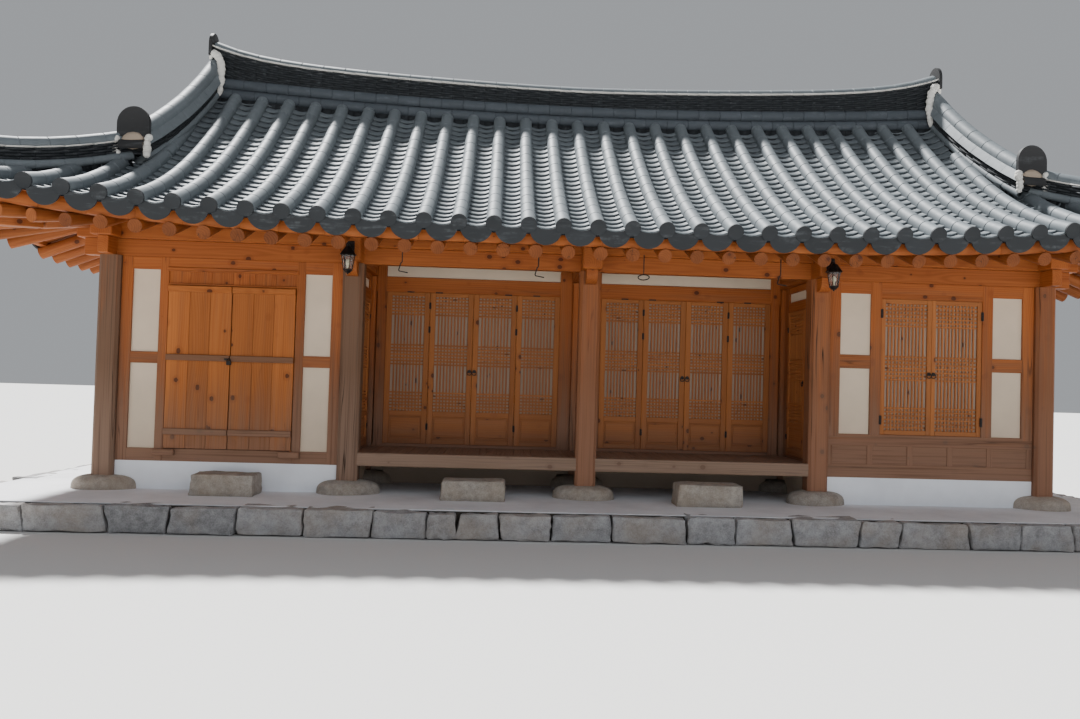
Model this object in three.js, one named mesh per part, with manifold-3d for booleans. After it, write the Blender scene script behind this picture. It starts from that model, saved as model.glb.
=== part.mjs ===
// A four-bay Korean timber house with a tiled hip-and-gable roof, in millimetres.
// X runs along the front from left to right, Y runs from the front into the house, Z is up.
// The origin is on the ground in the middle of the plan.
import * as THREE from 'three';
import { mergeVertices } from 'three/addons/utils/BufferGeometryUtils.js';
import Module from 'manifold-3d';

const wasm = await Module();
wasm.setup();

// Spacing kept between pieces that touch, and between a moving leaf and what surrounds it.
const GAP = 0.3;
const LEAF_GAP = 5;

// Plan: column lines and depths.
const BAY = 2400;
const HALF_LENGTH = 2 * BAY;
const HALF_DEPTH = 1800;
const RECESS_Y = -750;

// Stone platform and the base stones of the columns.
const PLATFORM_TOP = 250;
const PLATFORM_HALF_X = 6000;
const PLATFORM_HALF_Y = 3020;
const BASE_STONE_TOP = 390;

// Columns and the timber frame that they carry.
const COLUMN = 210;
const COLUMN_CHAMFER = 28;
const POST = 180;
const BEAM_BOTTOM = 2566;
const PURLIN_BOTTOM = 2734;
const PURLIN_WIDTH = 210;
const BEARER_WIDTH = 104;
const PURLIN_HEAD = 330;
const CROSSBEAM_WIDTH = 200;
const CROSSBEAM_TOP = 2840;
const CROSSBEAM_HEAD = 330;
const BRACKET_WIDTH = 110;
const BRACKET_BOTTOM = 2430;
const BRACKET_HALF = 250;

// Walls: rails, panels and their thicknesses.
const FRAME_THICK = 90;
const PLASTER_THICK = 44;
const FOUNDATION_THICK = 70;
const SILL_BOTTOM = 528;
const SILL_TOP = 653;
const MID_RAIL_LOW = 1500;
const MID_RAIL_HIGH = 1614;
const LINTEL_BOTTOM = 2440;
const SIDE_POST = 108;
const GROOVE = 30;

// Plank doors of the first bay.
const PLANK_OPENING = 1266;
const PLANK_POST = 86;
const PLANK_HEAD = 2292;
const PLANK_THICK = 35;
const PLANK_PROUD = 7;
const PLANK_MEETING_GAP = 8;
const BATTEN_THICK = 28;
const PIVOT_RADIUS = 11;

// Lattice window of the fourth bay, with its wainscot.
const WINDOW_OPENING = 1076;
const WINDOW_POST = 114;
const WINDOW_SIDE_POST = 123;
const WAINSCOT_LOW = 665;
const WAINSCOT_HIGH = 858;
const WINDOW_SILL = 978;
const WINDOW_HEAD = 2395;
const WINDOW_MID_LOW = 1660;
const WINDOW_MID_HIGH = 1800;
const LEAF_THICK = 36;
const LEAF_STILE = 42;
const PAPER_THICK = 8;

// Folding doors of the porch wall.
const FLOOR_TOP = 660;
const THRESHOLD = 690;
const FOLDING_HEAD = 2397;
const FOLDING_OUTER = 2195;
const FOLDING_INNER = 235;
const FOLDING_GAP = 4;
const FOLDING_PANEL_LOW = 750;
const FOLDING_PANEL_HIGH = 1000;
const FOLDING_LATTICE = 1059;

// Side doors at both ends of the porch.
const SIDE_DOOR_FRONT = -1560;
const SIDE_DOOR_BACK = -960;
const SIDE_DOOR_HEAD = 2290;
const KNUCKLE_RADIUS = 7;
const KNUCKLE_HEIGHT = 40;
const SIDE_HINGE_HEIGHTS = [880, 2080];

// Roof: eaves, slopes and their curves.
const EAVE_X = 5950;
const EAVE_Y = 2950;
const HIP_SHIFT = 3000;
const CORNER_X = 6100;
const CORNER_Y = 3100;
const CORNER_FLARE = 150;
const CORNER_RISE = 380;
const EAVE_TOP = 2875;
const ROOF_RISE = 1825;
const ROOF_SAG = 0.3;
const RIDGE_LIFT = 180;
const GABLE_WALL_X = 4290;
const GABLE_EDGE_X = 4620;
const VERGE_THICK = 160;

// Rafters and the boards on them.
const RAFTER_SETBACK = 150;
const RAFTER_SLOPE = 0.4;
const RAFTER_PITCH = 300;
const RAFTER_RADIUS = 64;
const RAFTER_DROP = 80;
const DECK_START = 2699;
const DECK_THICK = 30;
const EAVE_BOARD_TOP = 2800;
const EAVE_BOARD_WIDTH = 82;
const FAN_FOCUS_X = 4500;
const FAN_DROP = 24;
const HIP_RAFTER_WIDTH = 170;
const HIP_RAFTER_DEPTH = 250;

// Ridges on the tiles.
const RIDGE_HALF = 4450;
const RIDGE_TOP_MID = 4972;
const RIDGE_TOP_END = 5430;
const GABLE_RIDGE_HEIGHT = 400;
const HIP_RIDGE_HEIGHT = 350;

// Colours read from the house.
const pine = new THREE.MeshStandardMaterial({ color: 0xb9743f, roughness: 0.72, metalness: 0 });
const paleBoard = new THREE.MeshStandardMaterial({ color: 0xc98a52, roughness: 0.7, metalness: 0 });
const plaster = new THREE.MeshStandardMaterial({ color: 0xe4e4e2, roughness: 0.9, metalness: 0 });
const granite = new THREE.MeshStandardMaterial({ color: 0x9a9288, roughness: 0.95, metalness: 0 });
const tile = new THREE.MeshStandardMaterial({ color: 0x4a4f57, roughness: 0.5, metalness: 0 });
const iron = new THREE.MeshStandardMaterial({ color: 0x1e1e20, roughness: 0.5, metalness: 0.8 });
const ondol = new THREE.MeshStandardMaterial({ color: 0xc9b07a, roughness: 0.6, metalness: 0 });

const group = new THREE.Group();
group.name = 'hanok_house';

// Turns a closed geometry into a solid for cutting and joining.
function toSolid(geometry) {
  const bare = geometry.index ? geometry.toNonIndexed() : geometry.clone();
  bare.deleteAttribute('normal');
  bare.deleteAttribute('uv');
  const welded = mergeVertices(bare, 1e-4);
  const vertProperties = new Float32Array(welded.attributes.position.array);
  const triVerts = new Uint32Array(welded.index.array);
  return new wasm.Manifold(new wasm.Mesh({ numProp: 3, vertProperties, triVerts }));
}

// Builds a solid from points and triangles, turning it outward if it is inside out.
function solidFrom(points, triangles) {
  let volume = 0;
  for (const [a, b, c] of triangles) {
    volume += points[a].dot(points[b].clone().cross(points[c]));
  }
  const faces = volume > 0 ? triangles : triangles.map(([a, b, c]) => [a, c, b]);
  const vertProperties = new Float32Array(points.flatMap((p) => [p.x, p.y, p.z]));
  const triVerts = new Uint32Array(faces.flat());
  return new wasm.Manifold(new wasm.Mesh({ numProp: 3, vertProperties, triVerts }));
}

function block(x0, x1, y0, y1, z0, z1) {
  const geometry = new THREE.BoxGeometry(x1 - x0, y1 - y0, z1 - z0);
  geometry.translate((x0 + x1) / 2, (y0 + y1) / 2, (z0 + z1) / 2);
  return toSolid(geometry);
}

function fuse(solids) {
  return solids.reduce((sum, solid) => sum.add(solid));
}

// Joins equal outlines, one after another, into a closed skin.
function loft(outlines) {
  const size = outlines[0].length;
  const points = outlines.flat();
  const triangles = [];
  for (let k = 0; k + 1 < outlines.length; k += 1) {
    for (let i = 0; i < size; i += 1) {
      const a = k * size + i;
      const b = k * size + ((i + 1) % size);
      triangles.push([a, b, b + size], [a, b + size, a + size]);
    }
  }
  return { size, points, triangles };
}

// Closes a loft at both ends with the triangles of its flat outline.
function cappedLoft(outlines, flat) {
  const { size, points, triangles } = loft(outlines);
  const last = (outlines.length - 1) * size;
  const contour = flat.map(([p, q]) => new THREE.Vector2(p, q));
  const clockwise = THREE.ShapeUtils.isClockWise(contour);
  for (const [a, b, c] of THREE.ShapeUtils.triangulateShape(contour, [])) {
    const cap = clockwise ? [a, b, c] : [a, c, b];
    triangles.push(cap);
    triangles.push([last + cap[0], last + cap[2], last + cap[1]]);
  }
  return solidFrom(points, consistent(triangles));
}

// Makes neighbouring triangles run the same way round across every shared edge.
function consistent(triangles) {
  const edges = new Map();
  triangles.forEach((tri, t) => {
    for (let i = 0; i < 3; i += 1) {
      const a = tri[i];
      const b = tri[(i + 1) % 3];
      const key = a < b ? `${a}_${b}` : `${b}_${a}`;
      if (!edges.has(key)) edges.set(key, []);
      edges.get(key).push(t);
    }
  });
  const done = new Array(triangles.length).fill(false);
  const result = triangles.map((tri) => [...tri]);
  const runs = (tri, a, b) => [0, 1, 2].some((i) => tri[i] === a && tri[(i + 1) % 3] === b);
  const queue = [0];
  done[0] = true;
  while (queue.length) {
    const tri = result[queue.pop()];
    for (let i = 0; i < 3; i += 1) {
      const a = tri[i];
      const b = tri[(i + 1) % 3];
      for (const other of edges.get(a < b ? `${a}_${b}` : `${b}_${a}`)) {
        if (!done[other]) {
          if (runs(result[other], a, b)) result[other].reverse();
          done[other] = true;
          queue.push(other);
        }
      }
    }
  }
  return result;
}

// Extrudes an outline along X, Y or Z from one coordinate to another.
function prism(outline, axis, from, to) {
  const place = {
    x: (p, q, a) => new THREE.Vector3(a, p, q),
    y: (p, q, a) => new THREE.Vector3(p, a, q),
    z: (p, q, a) => new THREE.Vector3(p, q, a),
  }[axis];
  const outlines = [from, to].map((a) => outline.map(([p, q]) => place(p, q, a)));
  return cappedLoft(outlines, outline);
}

// Upright eight-sided pin.
function pin(x, y, radius, z0, z1) {
  const outline = [0, 1, 2, 3, 4, 5, 6, 7].map((i) => {
    const angle = (i * Math.PI) / 4;
    return [x + radius * Math.cos(angle), y + radius * Math.sin(angle)];
  });
  return prism(outline, 'z', z0, z1);
}

// Sweeps a section of sideways and upward offsets along a path of points.
function sweep(path, section) {
  const up = new THREE.Vector3(0, 0, 1);
  const outlines = path.map((point, i) => {
    const before = path[Math.max(i - 1, 0)];
    const after = path[Math.min(i + 1, path.length - 1)];
    const along = after.clone().sub(before).normalize();
    const side = along.clone().cross(up).normalize();
    const rise = side.clone().cross(along);
    return section.map(([a, b]) => point.clone().addScaledVector(side, a).addScaledVector(rise, b));
  });
  return cappedLoft(outlines, section);
}

// Fills the space between an upper and a lower surface over a grid of plan points.
function gridSolid(grid) {
  const rows = grid.length;
  const cols = grid[0].length;
  const flat = grid.flat();
  const upper = flat.map((p) => new THREE.Vector3(p.x, p.y, p.top));
  const lower = flat.map((p) => new THREE.Vector3(p.x, p.y, p.bottom));
  const under = rows * cols;
  const triangles = [];
  for (let i = 0; i + 1 < rows; i += 1) {
    for (let j = 0; j + 1 < cols; j += 1) {
      const a = i * cols + j;
      const b = a + 1;
      const c = a + cols + 1;
      const d = a + cols;
      triangles.push([a, b, c], [a, c, d]);
      triangles.push([under + a, under + c, under + b], [under + a, under + d, under + c]);
    }
  }
  const wall = (a, b) => triangles.push([a, under + a, under + b], [a, under + b, b]);
  for (let j = 0; j + 1 < cols; j += 1) {
    wall(j, j + 1);
    wall((rows - 1) * cols + j + 1, (rows - 1) * cols + j);
  }
  for (let i = 0; i + 1 < rows; i += 1) {
    wall((i + 1) * cols, i * cols);
    wall(i * cols + cols - 1, (i + 1) * cols + cols - 1);
  }
  return solidFrom([...upper, ...lower], consistent(triangles));
}

// Adds a solid to the house as a named mesh.
function addPiece(name, solid, material) {
  const { vertProperties, triVerts } = solid.getMesh();
  const geometry = new THREE.BufferGeometry();
  geometry.setAttribute('position', new THREE.BufferAttribute(new Float32Array(vertProperties), 3));
  geometry.setIndex(new THREE.BufferAttribute(new Uint32Array(triVerts), 1));
  const faceted = geometry.toNonIndexed();
  faceted.computeVertexNormals();
  const mesh = new THREE.Mesh(faceted, material);
  mesh.name = name;
  group.add(mesh);
  return mesh;
}

// Keeps the main body of a cut solid and drops the slivers that a cut leaves.
function mainBody(solid) {
  return solid.decompose().sort((a, b) => b.volume() - a.volume())[0];
}

function mirrorX(solid) {
  return solid.mirror([1, 0, 0]);
}

function mirrorY(solid) {
  return solid.mirror([0, 1, 0]);
}

// The shape of the roof.

// How strongly a point of the plan belongs to a corner, from 0 to 1.
function cornerPull(x, y) {
  return (Math.abs(x) / CORNER_X) ** 3 * (Math.abs(y) / CORNER_Y) ** 3;
}

function frontDistance(x, y) {
  return EAVE_Y - Math.abs(y) + CORNER_FLARE * cornerPull(x, y);
}

function sideDistance(x, y) {
  return EAVE_X - Math.abs(x) + CORNER_FLARE * cornerPull(x, y);
}

// The y at which a line of constant x is a given distance in from the front eave.
function yAtDistance(x, distance) {
  let y = EAVE_Y - distance;
  for (let i = 0; i < 12; i += 1) {
    y = EAVE_Y - distance + CORNER_FLARE * cornerPull(x, y);
  }
  return y;
}

function xAtDistance(y, distance) {
  let x = EAVE_X - distance;
  for (let i = 0; i < 12; i += 1) {
    x = EAVE_X - distance + CORNER_FLARE * cornerPull(x, y);
  }
  return x;
}

// Height of the tiles at a plan point, a distance in from the eave.
function tileHeight(x, y, distance) {
  const u = distance / EAVE_Y;
  const slope = ROOF_RISE * (u + ROOF_SAG * u * (u - 1));
  const lift = RIDGE_LIFT * (x / 4400) ** 2 * u ** 2;
  return EAVE_TOP + slope + lift + CORNER_RISE * cornerPull(x, y);
}

// Height of the top of the boards on the rafters.
function deckHeight(x, y, distance) {
  return DECK_START + RAFTER_SLOPE * (distance - RAFTER_SETBACK) + CORNER_RISE * cornerPull(x, y);
}

// The underside of the tile bed: the eave overhang, the eave board and the boards.
function bedUnderside(x, y, distance) {
  const corner = CORNER_RISE * cornerPull(x, y);
  if (distance < RAFTER_SETBACK - 1) {
    return EAVE_TOP - 110 + corner;
  }
  if (distance < RAFTER_SETBACK + EAVE_BOARD_WIDTH + 1) {
    return EAVE_BOARD_TOP + corner;
  }
  return deckHeight(x, y, distance);
}

const CORNER_XS = [4290, 4650, 5000, 5350, 5650, 5880, 6085];
const MIDDLE_XS = [0, 1600, 3000, 3700];
const BED_ROWS = [0, 350, 750, 1200, 1660];
const RIDGE_ROWS = [2050, 2500, 2950];
const UNDER_ROWS = [0, 150, 232, 234, 1150, 2950];

// Distances clipped at a limit but kept in rising order.
function clipRows(rows, limit) {
  return rows.map((row, i) => Math.min(row, limit - (rows.length - 1 - i) * 0.05));
}

function bothSigns(values) {
  return [...values.filter((v) => v > 0).map((v) => -v).reverse(), ...values];
}

const LOW = 2000;

// The front half of the main roof, down to a low level.
function mainRoof() {
  const xs = bothSigns([...MIDDLE_XS, GABLE_WALL_X]);
  return gridSolid(xs.map((x) => [...BED_ROWS, ...RIDGE_ROWS].map((row) => {
    const y = row === EAVE_Y ? 0 : -yAtDistance(x, row);
    return { x, y, top: tileHeight(x, y, row), bottom: LOW };
  })));
}

// The front slope of a corner, between the eave and the hip line.
function cornerFront() {
  return gridSolid(CORNER_XS.map((x) => {
    const hipY = x - HIP_SHIFT;
    const limit = frontDistance(x, hipY);
    return BED_ROWS.map((row, i) => {
      const distance = (row / 1660) * limit;
      const y = i === BED_ROWS.length - 1 ? -hipY : -yAtDistance(x, distance);
      return { x, y, top: tileHeight(x, y, frontDistance(x, y)), bottom: LOW };
    });
  }));
}

// The end slope, from the foot of the gable and the hip lines out to the end eave.
function endSlope() {
  const ys = bothSigns([0, 600, ...CORNER_XS.map((x) => x - HIP_SHIFT)]);
  return gridSolid(ys.map((y) => {
    const innerX = Math.max(GABLE_WALL_X, Math.abs(y) + HIP_SHIFT);
    const limit = sideDistance(innerX, y);
    return BED_ROWS.map((row, i) => {
      const x = i === BED_ROWS.length - 1 ? innerX : xAtDistance(y, (row / 1660) * limit);
      return { x, y, top: tileHeight(x, y, sideDistance(x, y)), bottom: LOW };
    });
  }));
}

// The verge: the strip of main roof that reaches out past the gable wall.
function verge() {
  const ys = bothSigns([0, 300, 600, 900, 1200]);
  const edge = (x) => x - HIP_SHIFT - 10;
  return gridSolid([GABLE_WALL_X - 20, GABLE_EDGE_X].map((x) => {
    const line = [-edge(x), ...ys, edge(x)];
    return line.map((y) => {
      const top = tileHeight(x, y, frontDistance(x, y));
      return { x, y, top, bottom: top - VERGE_THICK };
    });
  }));
}

// The space under the tile bed: below the boards of all four slopes, and outside them.
function underBed(lift) {
  const rows = [-150, ...UNDER_ROWS];
  const edgeXs = [...CORNER_XS, 6110];
  const front = gridSolid(bothSigns([...MIDDLE_XS, ...edgeXs]).map((x) => {
    const hipY = Math.max(0, Math.abs(x) - HIP_SHIFT);
    const limit = frontDistance(x, hipY);
    return clipRows(rows, limit).map((row, i) => {
      const y = i === rows.length - 1 ? -hipY : -yAtDistance(x, row);
      return { x, y, top: bedUnderside(x, y, row) + lift, bottom: LOW - 200 };
    });
  }));
  const ys = bothSigns([0, 600, ...edgeXs.map((x) => x - HIP_SHIFT)]);
  const side = gridSolid(ys.map((y) => {
    const innerX = Math.abs(y) + HIP_SHIFT;
    const limit = sideDistance(innerX, y);
    return clipRows(rows, limit).map((row, i) => {
      const x = i === rows.length - 1 ? innerX : xAtDistance(y, row);
      return { x, y, top: bedUnderside(x, y, row) + lift, bottom: LOW - 200 };
    });
  }));
  return fuse([front, mirrorY(front), side, mirrorX(side)]);
}

const roofSkirt = fuse([cornerFront(), mirrorY(cornerFront()), endSlope()]);
const roofUpper = fuse([mainRoof(), mirrorY(mainRoof())]);
const roofBed = fuse([roofUpper, roofSkirt, mirrorX(roofSkirt)])
  .subtract(underBed(GAP))
  .add(verge())
  .add(mirrorX(verge()));

// Hip rafters, the big diagonal timbers under the corners.
function hipRafter(grow) {
  const half = HIP_RAFTER_WIDTH / 2 + grow;
  const path = [4250 - 3 * grow, 4800, 5300, 5700, 5960 + 3 * grow].map((x) => {
    const y = -(x - HIP_SHIFT);
    return new THREE.Vector3(x, y, deckHeight(x, y, frontDistance(x, y)) - FAN_DROP);
  });
  const depth = HIP_RAFTER_DEPTH + grow;
  const section = [[-half, -depth], [half, -depth], [half, grow - 30], [0, grow], [-half, grow - 30]];
  return sweep(path, section);
}

const HEXAGON = [0, 1, 2, 3, 4, 5].map((i) => {
  const angle = (i * Math.PI) / 3;
  return [RAFTER_RADIUS * Math.cos(angle), RAFTER_RADIUS * Math.sin(angle)];
});

// Section of a rafter: round below, squared above where the boards lie on it.
const RAFTER_SECTION = [
  [-RAFTER_RADIUS, 0], [-RAFTER_RADIUS / 2, -RAFTER_RADIUS * 0.866],
  [RAFTER_RADIUS / 2, -RAFTER_RADIUS * 0.866], [RAFTER_RADIUS, 0],
  [RAFTER_RADIUS, RAFTER_DROP - 14], [-RAFTER_RADIUS, RAFTER_DROP - 14],
];

function rafterPoint(x, y, distance) {
  return new THREE.Vector3(x, y, deckHeight(x, y, distance) - RAFTER_DROP);
}

// A rafter that runs straight back from the front eave.
function frontRafter(x) {
  const last = Math.min(EAVE_Y - 20, EAVE_X - Math.abs(x) - 40);
  const stops = Math.abs(x) > 2500 ? [RAFTER_SETBACK, 1150, last] : [RAFTER_SETBACK, last];
  const path = stops.map((row) => rafterPoint(x, -yAtDistance(x, row), row));
  return sweep(path, RAFTER_SECTION);
}

function sideRafter(y) {
  const last = EAVE_Y - Math.abs(y) - 40;
  const path = [RAFTER_SETBACK, 1150, last].map((row) => rafterPoint(xAtDistance(y, row), y, row));
  return sweep(path, RAFTER_SECTION);
}

// A fan rafter of a corner, from the eave toward the point where the fan starts.
function fanRafter(endX, endY) {
  const focus = new THREE.Vector2(FAN_FOCUS_X, -(FAN_FOCUS_X - HIP_SHIFT));
  const end = new THREE.Vector2(endX, endY);
  const path = [0, 0.45, 0.82].map((t) => {
    const p = end.clone().lerp(focus, t);
    const point = rafterPoint(p.x, p.y, Math.min(frontDistance(p.x, p.y), sideDistance(p.x, p.y)));
    point.z -= FAN_DROP;
    return point;
  });
  return sweep(path, RAFTER_SECTION);
}

const EAVE_BOARD_ROWS = [RAFTER_SETBACK, RAFTER_SETBACK + EAVE_BOARD_WIDTH];

// The eave board that ties the rafter ends of the front slope together.
function frontEaveBoard() {
  const xs = bothSigns([...MIDDLE_XS, ...CORNER_XS.filter((x) => x <= 5880)]);
  return gridSolid(xs.map((x) => {
    const hipY = Math.max(0, Math.abs(x) - HIP_SHIFT);
    return clipRows(EAVE_BOARD_ROWS, frontDistance(x, hipY)).map((row) => {
      const y = -yAtDistance(x, row);
      return { x, y, top: bedUnderside(x, y, row), bottom: deckHeight(x, y, row) - DECK_THICK };
    });
  }));
}

function sideEaveBoard() {
  const ys = bothSigns([0, 600, ...CORNER_XS.filter((x) => x <= 5880).map((x) => x - HIP_SHIFT)]);
  return gridSolid(ys.map((y) => {
    return clipRows(EAVE_BOARD_ROWS, sideDistance(Math.abs(y) + HIP_SHIFT, y)).map((row) => {
      const x = xAtDistance(y, row);
      return { x, y, top: bedUnderside(x, y, row), bottom: deckHeight(x, y, row) - DECK_THICK };
    });
  }));
}

// Plan regions that belong to the front slope and to the right-hand end slope.
function slopeRegion(shift) {
  const reach = 3600;
  return {
    front: prism([
      [-HIP_SHIFT + shift, -shift], [HIP_SHIFT - shift, -shift],
      [HIP_SHIFT + reach - shift, -reach - shift], [-HIP_SHIFT - reach + shift, -reach - shift],
    ], 'z', LOW, 5000),
    side: prism([
      [HIP_SHIFT + shift, 0], [HIP_SHIFT + reach + shift, -reach],
      [HIP_SHIFT + reach + shift, reach],
    ], 'z', LOW, 5000),
  };
}

const region = slopeRegion(GAP);
const underBoards = underBed(0);
const frontXs = [];
for (let x = -15 * RAFTER_PITCH; x <= 15 * RAFTER_PITCH; x += RAFTER_PITCH) {
  frontXs.push(x);
}
const fanEnds = [4800, 5090, 5370, 5640];
const frontFans = fanEnds.map((x) => fanRafter(x, -yAtDistance(x, RAFTER_SETBACK)));
const sideFans = fanEnds.map((x) => x - HIP_SHIFT)
  .map((y) => fanRafter(xAtDistance(y, RAFTER_SETBACK), -y));
const rightHip = hipRafter(0);
const frontRafters = fuse([
  fuse([frontEaveBoard(), ...frontFans, ...frontFans.map(mirrorX)]).intersect(underBoards),
  ...frontXs.map(frontRafter),
]).intersect(region.front).add(rightHip).add(mirrorX(rightHip));

const sideYs = [-4, -3, -2, -1, 0, 1, 2, 3, 4].map((i) => i * RAFTER_PITCH);
const hipClearance = fuse([hipRafter(GAP), mirrorY(hipRafter(GAP))]);
const sideRafters = fuse([
  sideEaveBoard().intersect(underBoards), ...sideYs.map(sideRafter), ...sideFans, ...sideFans.map(mirrorY),
]).intersect(region.side).subtract(hipClearance);

// The space below the rafters, used to trim the tops of purlins and walls.
function underRafters(drop) {
  const base = DECK_START - RAFTER_DROP - 60 - drop;
  const top = base + RAFTER_SLOPE * (EAVE_Y - RAFTER_SETBACK);
  const spread = top / RAFTER_SLOPE;
  const points = [
    [-HIP_SHIFT - spread, -spread, 0], [HIP_SHIFT + spread, -spread, 0],
    [HIP_SHIFT + spread, spread, 0], [-HIP_SHIFT - spread, spread, 0],
    [-HIP_SHIFT, 0, top], [HIP_SHIFT, 0, top],
  ].map(([x, y, z]) => new THREE.Vector3(x, y, z));
  return solidFrom(points, consistent([
    [0, 2, 1], [0, 3, 2], [0, 1, 5], [0, 5, 4], [2, 3, 4], [2, 4, 5], [1, 2, 5], [3, 0, 4],
  ]));
}

const belowRafters = underRafters(GAP);

// Columns, base stones and platform.

function squareOutline(cx, cy, size, chamfer) {
  const h = size / 2;
  const c = h - chamfer;
  return [[-h, -c], [-c, -h], [c, -h], [h, -c], [h, c], [c, h], [-c, h], [-h, c]]
    .map(([x, y]) => [cx + x, cy + y]);
}

// A flat-topped boulder with seven uneven sides.
function baseStone(cx, cy, grow) {
  const bulge = [1.0, 0.93, 1.04, 0.96, 1.02, 0.9, 1.03];
  const ring = (rx, ry, z) => bulge.map((b, i) => {
    const angle = (i * 2 * Math.PI) / bulge.length + 0.25;
    return new THREE.Vector3(cx + b * rx * Math.cos(angle), cy + b * ry * Math.sin(angle), z);
  });
  const flat = ring(1, 1, 0).map((p) => [p.x, p.y]);
  return cappedLoft([
    ring(300 + grow, 235 + grow, PLATFORM_TOP - 12),
    ring(250 + grow, 190 + grow, BASE_STONE_TOP + grow),
  ], flat);
}

const columnXs = [-2, -1, 0, 1, 2].map((i) => i * BAY);
const stoneSpots = columnXs.flatMap((x) => [[x, -HALF_DEPTH], [x, HALF_DEPTH]]);
const recessSpots = [-BAY, 0, BAY].map((x) => [x, RECESS_Y]);
const stones = (grow) => fuse([...stoneSpots, ...recessSpots].map(([x, y]) => baseStone(x, y, grow)));
const stonesCut = stones(GAP);
addPiece('stone_platform', block(
  -PLATFORM_HALF_X, PLATFORM_HALF_X, -PLATFORM_HALF_Y, PLATFORM_HALF_Y, 0, PLATFORM_TOP,
).add(stones(0)), granite);

// Stepping stones in front of the plank doors and of the porch.
function steppingStone(cx, front, width, depth, height) {
  const ring = (inset, z) => {
    const w = width / 2 - inset;
    const d = depth / 2 - inset;
    const outline = [[-w, -d + 30], [-w + 45, -d], [w - 30, -d + 8], [w, -d + 50], [w - 8, d - 30],
      [w - 50, d], [-w + 30, d - 8], [-w + 6, d - 40]];
    return outline.map(([x, y]) => new THREE.Vector3(cx + x, front + depth / 2 + y, z));
  };
  const flat = ring(0, 0).map((p) => [p.x, p.y]);
  const base = PLATFORM_TOP + GAP;
  return cappedLoft([ring(6, base), ring(0, base + height * 0.6), ring(22, base + height)], flat);
}

addPiece('stepping_stone_left', steppingStone(-3510, -2330, 650, 370, 215), granite);
addPiece('stepping_stone_middle', steppingStone(-1125, -2290, 670, 350, 205), granite);
addPiece('stepping_stone_right', steppingStone(1190, -2350, 700, 370, 225), granite);

// Crossbeams from the front to the back with king posts for the ridge purlin.
const ridgePurlinTop = DECK_START - RAFTER_DROP - 61 + RAFTER_SLOPE * (EAVE_Y - RAFTER_SETBACK) - 40;
const RIDGE_PURLIN_DEPTH = 200;
const ridgePurlinBottom = ridgePurlinTop - RIDGE_PURLIN_DEPTH;

function crossbeam(x, grow) {
  const h = CROSSBEAM_WIDTH / 2 + grow;
  const end = HALF_DEPTH + CROSSBEAM_HEAD;
  const low = BEAM_BOTTOM - grow;
  const high = CROSSBEAM_TOP + grow;
  const beam = prism([
    [-end - grow, low + 60], [-end + 50, low], [end - 50, low], [end + grow, low + 60],
    [end + grow, 2770 + grow], [end - 150, high - 40], [1500, high], [-1500, high],
    [-end + 150, high - 40], [-end - grow, 2770 + grow],
  ], 'x', x - h, x + h);
  const w = BRACKET_WIDTH / 2 + grow;
  const reach = BRACKET_HALF + grow;
  const bracket = (y) => prism([
    [y - reach, low + 30], [y + reach, low + 30], [y + reach, BRACKET_BOTTOM + 70],
    [y + reach - 90, BRACKET_BOTTOM - grow], [y - reach + 90, BRACKET_BOTTOM - grow],
    [y - reach, BRACKET_BOTTOM + 70],
  ], 'x', x - w, x + w);
  return fuse([beam, bracket(-HALF_DEPTH), bracket(HALF_DEPTH)]);
}

const purlinHalf = PURLIN_WIDTH / 2;
function purlinNotch(y) {
  const h = purlinHalf + GAP;
  return block(-9000, 9000, y - h, y + h, PURLIN_BOTTOM - GAP, 3200);
}

const crossbeamXs = [-BAY, 0, BAY];
const crossbeamCut = fuse(crossbeamXs.map((x) => crossbeam(x, GAP)));
crossbeamXs.forEach((x, i) => {
  const post = block(x - 80, x + 80, -80, 80, CROSSBEAM_TOP - 20, ridgePurlinBottom - GAP);
  const solid = crossbeam(x, 0)
    .subtract(purlinNotch(-HALF_DEPTH))
    .subtract(purlinNotch(HALF_DEPTH))
    .add(post);
  addPiece(`crossbeam_${i + 1}`, solid, pine);
});

const columnTop = BEAM_BOTTOM - GAP;
function columnSolid(x, y, size, bottom, top) {
  return prism(squareOutline(x, y, size, COLUMN_CHAMFER), 'z', bottom, top);
}

columnXs.forEach((x, i) => {
  const solid = columnSolid(x, -HALF_DEPTH, COLUMN, BASE_STONE_TOP + GAP, columnTop);
  addPiece(`front_column_${i + 1}`, solid.subtract(crossbeamCut), pine);
});

// Purlins on their bearers, one ring around the house, with projecting ends at the corners.
const frontRun = HALF_LENGTH + PURLIN_HEAD;
const sideRun = HALF_DEPTH + PURLIN_HEAD;
const bearerHalf = BEARER_WIDTH / 2;
function eaveRing() {
  const runs = [];
  for (const side of [-1, 1]) {
    const y = side * HALF_DEPTH;
    const x = side * HALF_LENGTH;
    runs.push(block(-frontRun, frontRun, y - purlinHalf, y + purlinHalf, PURLIN_BOTTOM, 3100));
    runs.push(block(x - purlinHalf, x + purlinHalf, -sideRun, sideRun, PURLIN_BOTTOM, 3100));
    runs.push(block(
      -frontRun + 60, frontRun - 60, y - bearerHalf, y + bearerHalf, BEAM_BOTTOM, PURLIN_BOTTOM + 10,
    ));
    runs.push(block(
      x - bearerHalf, x + bearerHalf, -sideRun + 60, sideRun - 60, BEAM_BOTTOM, PURLIN_BOTTOM + 10,
    ));
  }
  return fuse(runs);
}

const allHips = fuse([hipClearance, mirrorX(hipClearance)]);
addPiece('eave_purlins', eaveRing()
  .intersect(belowRafters)
  .subtract(crossbeamCut)
  .subtract(allHips), pine);

addPiece('ridge_purlin', block(
  -HIP_SHIFT + 60, HIP_SHIFT - 60, -90, 90, ridgePurlinBottom, ridgePurlinTop + 40,
).intersect(belowRafters), pine);

// Walls.

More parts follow.
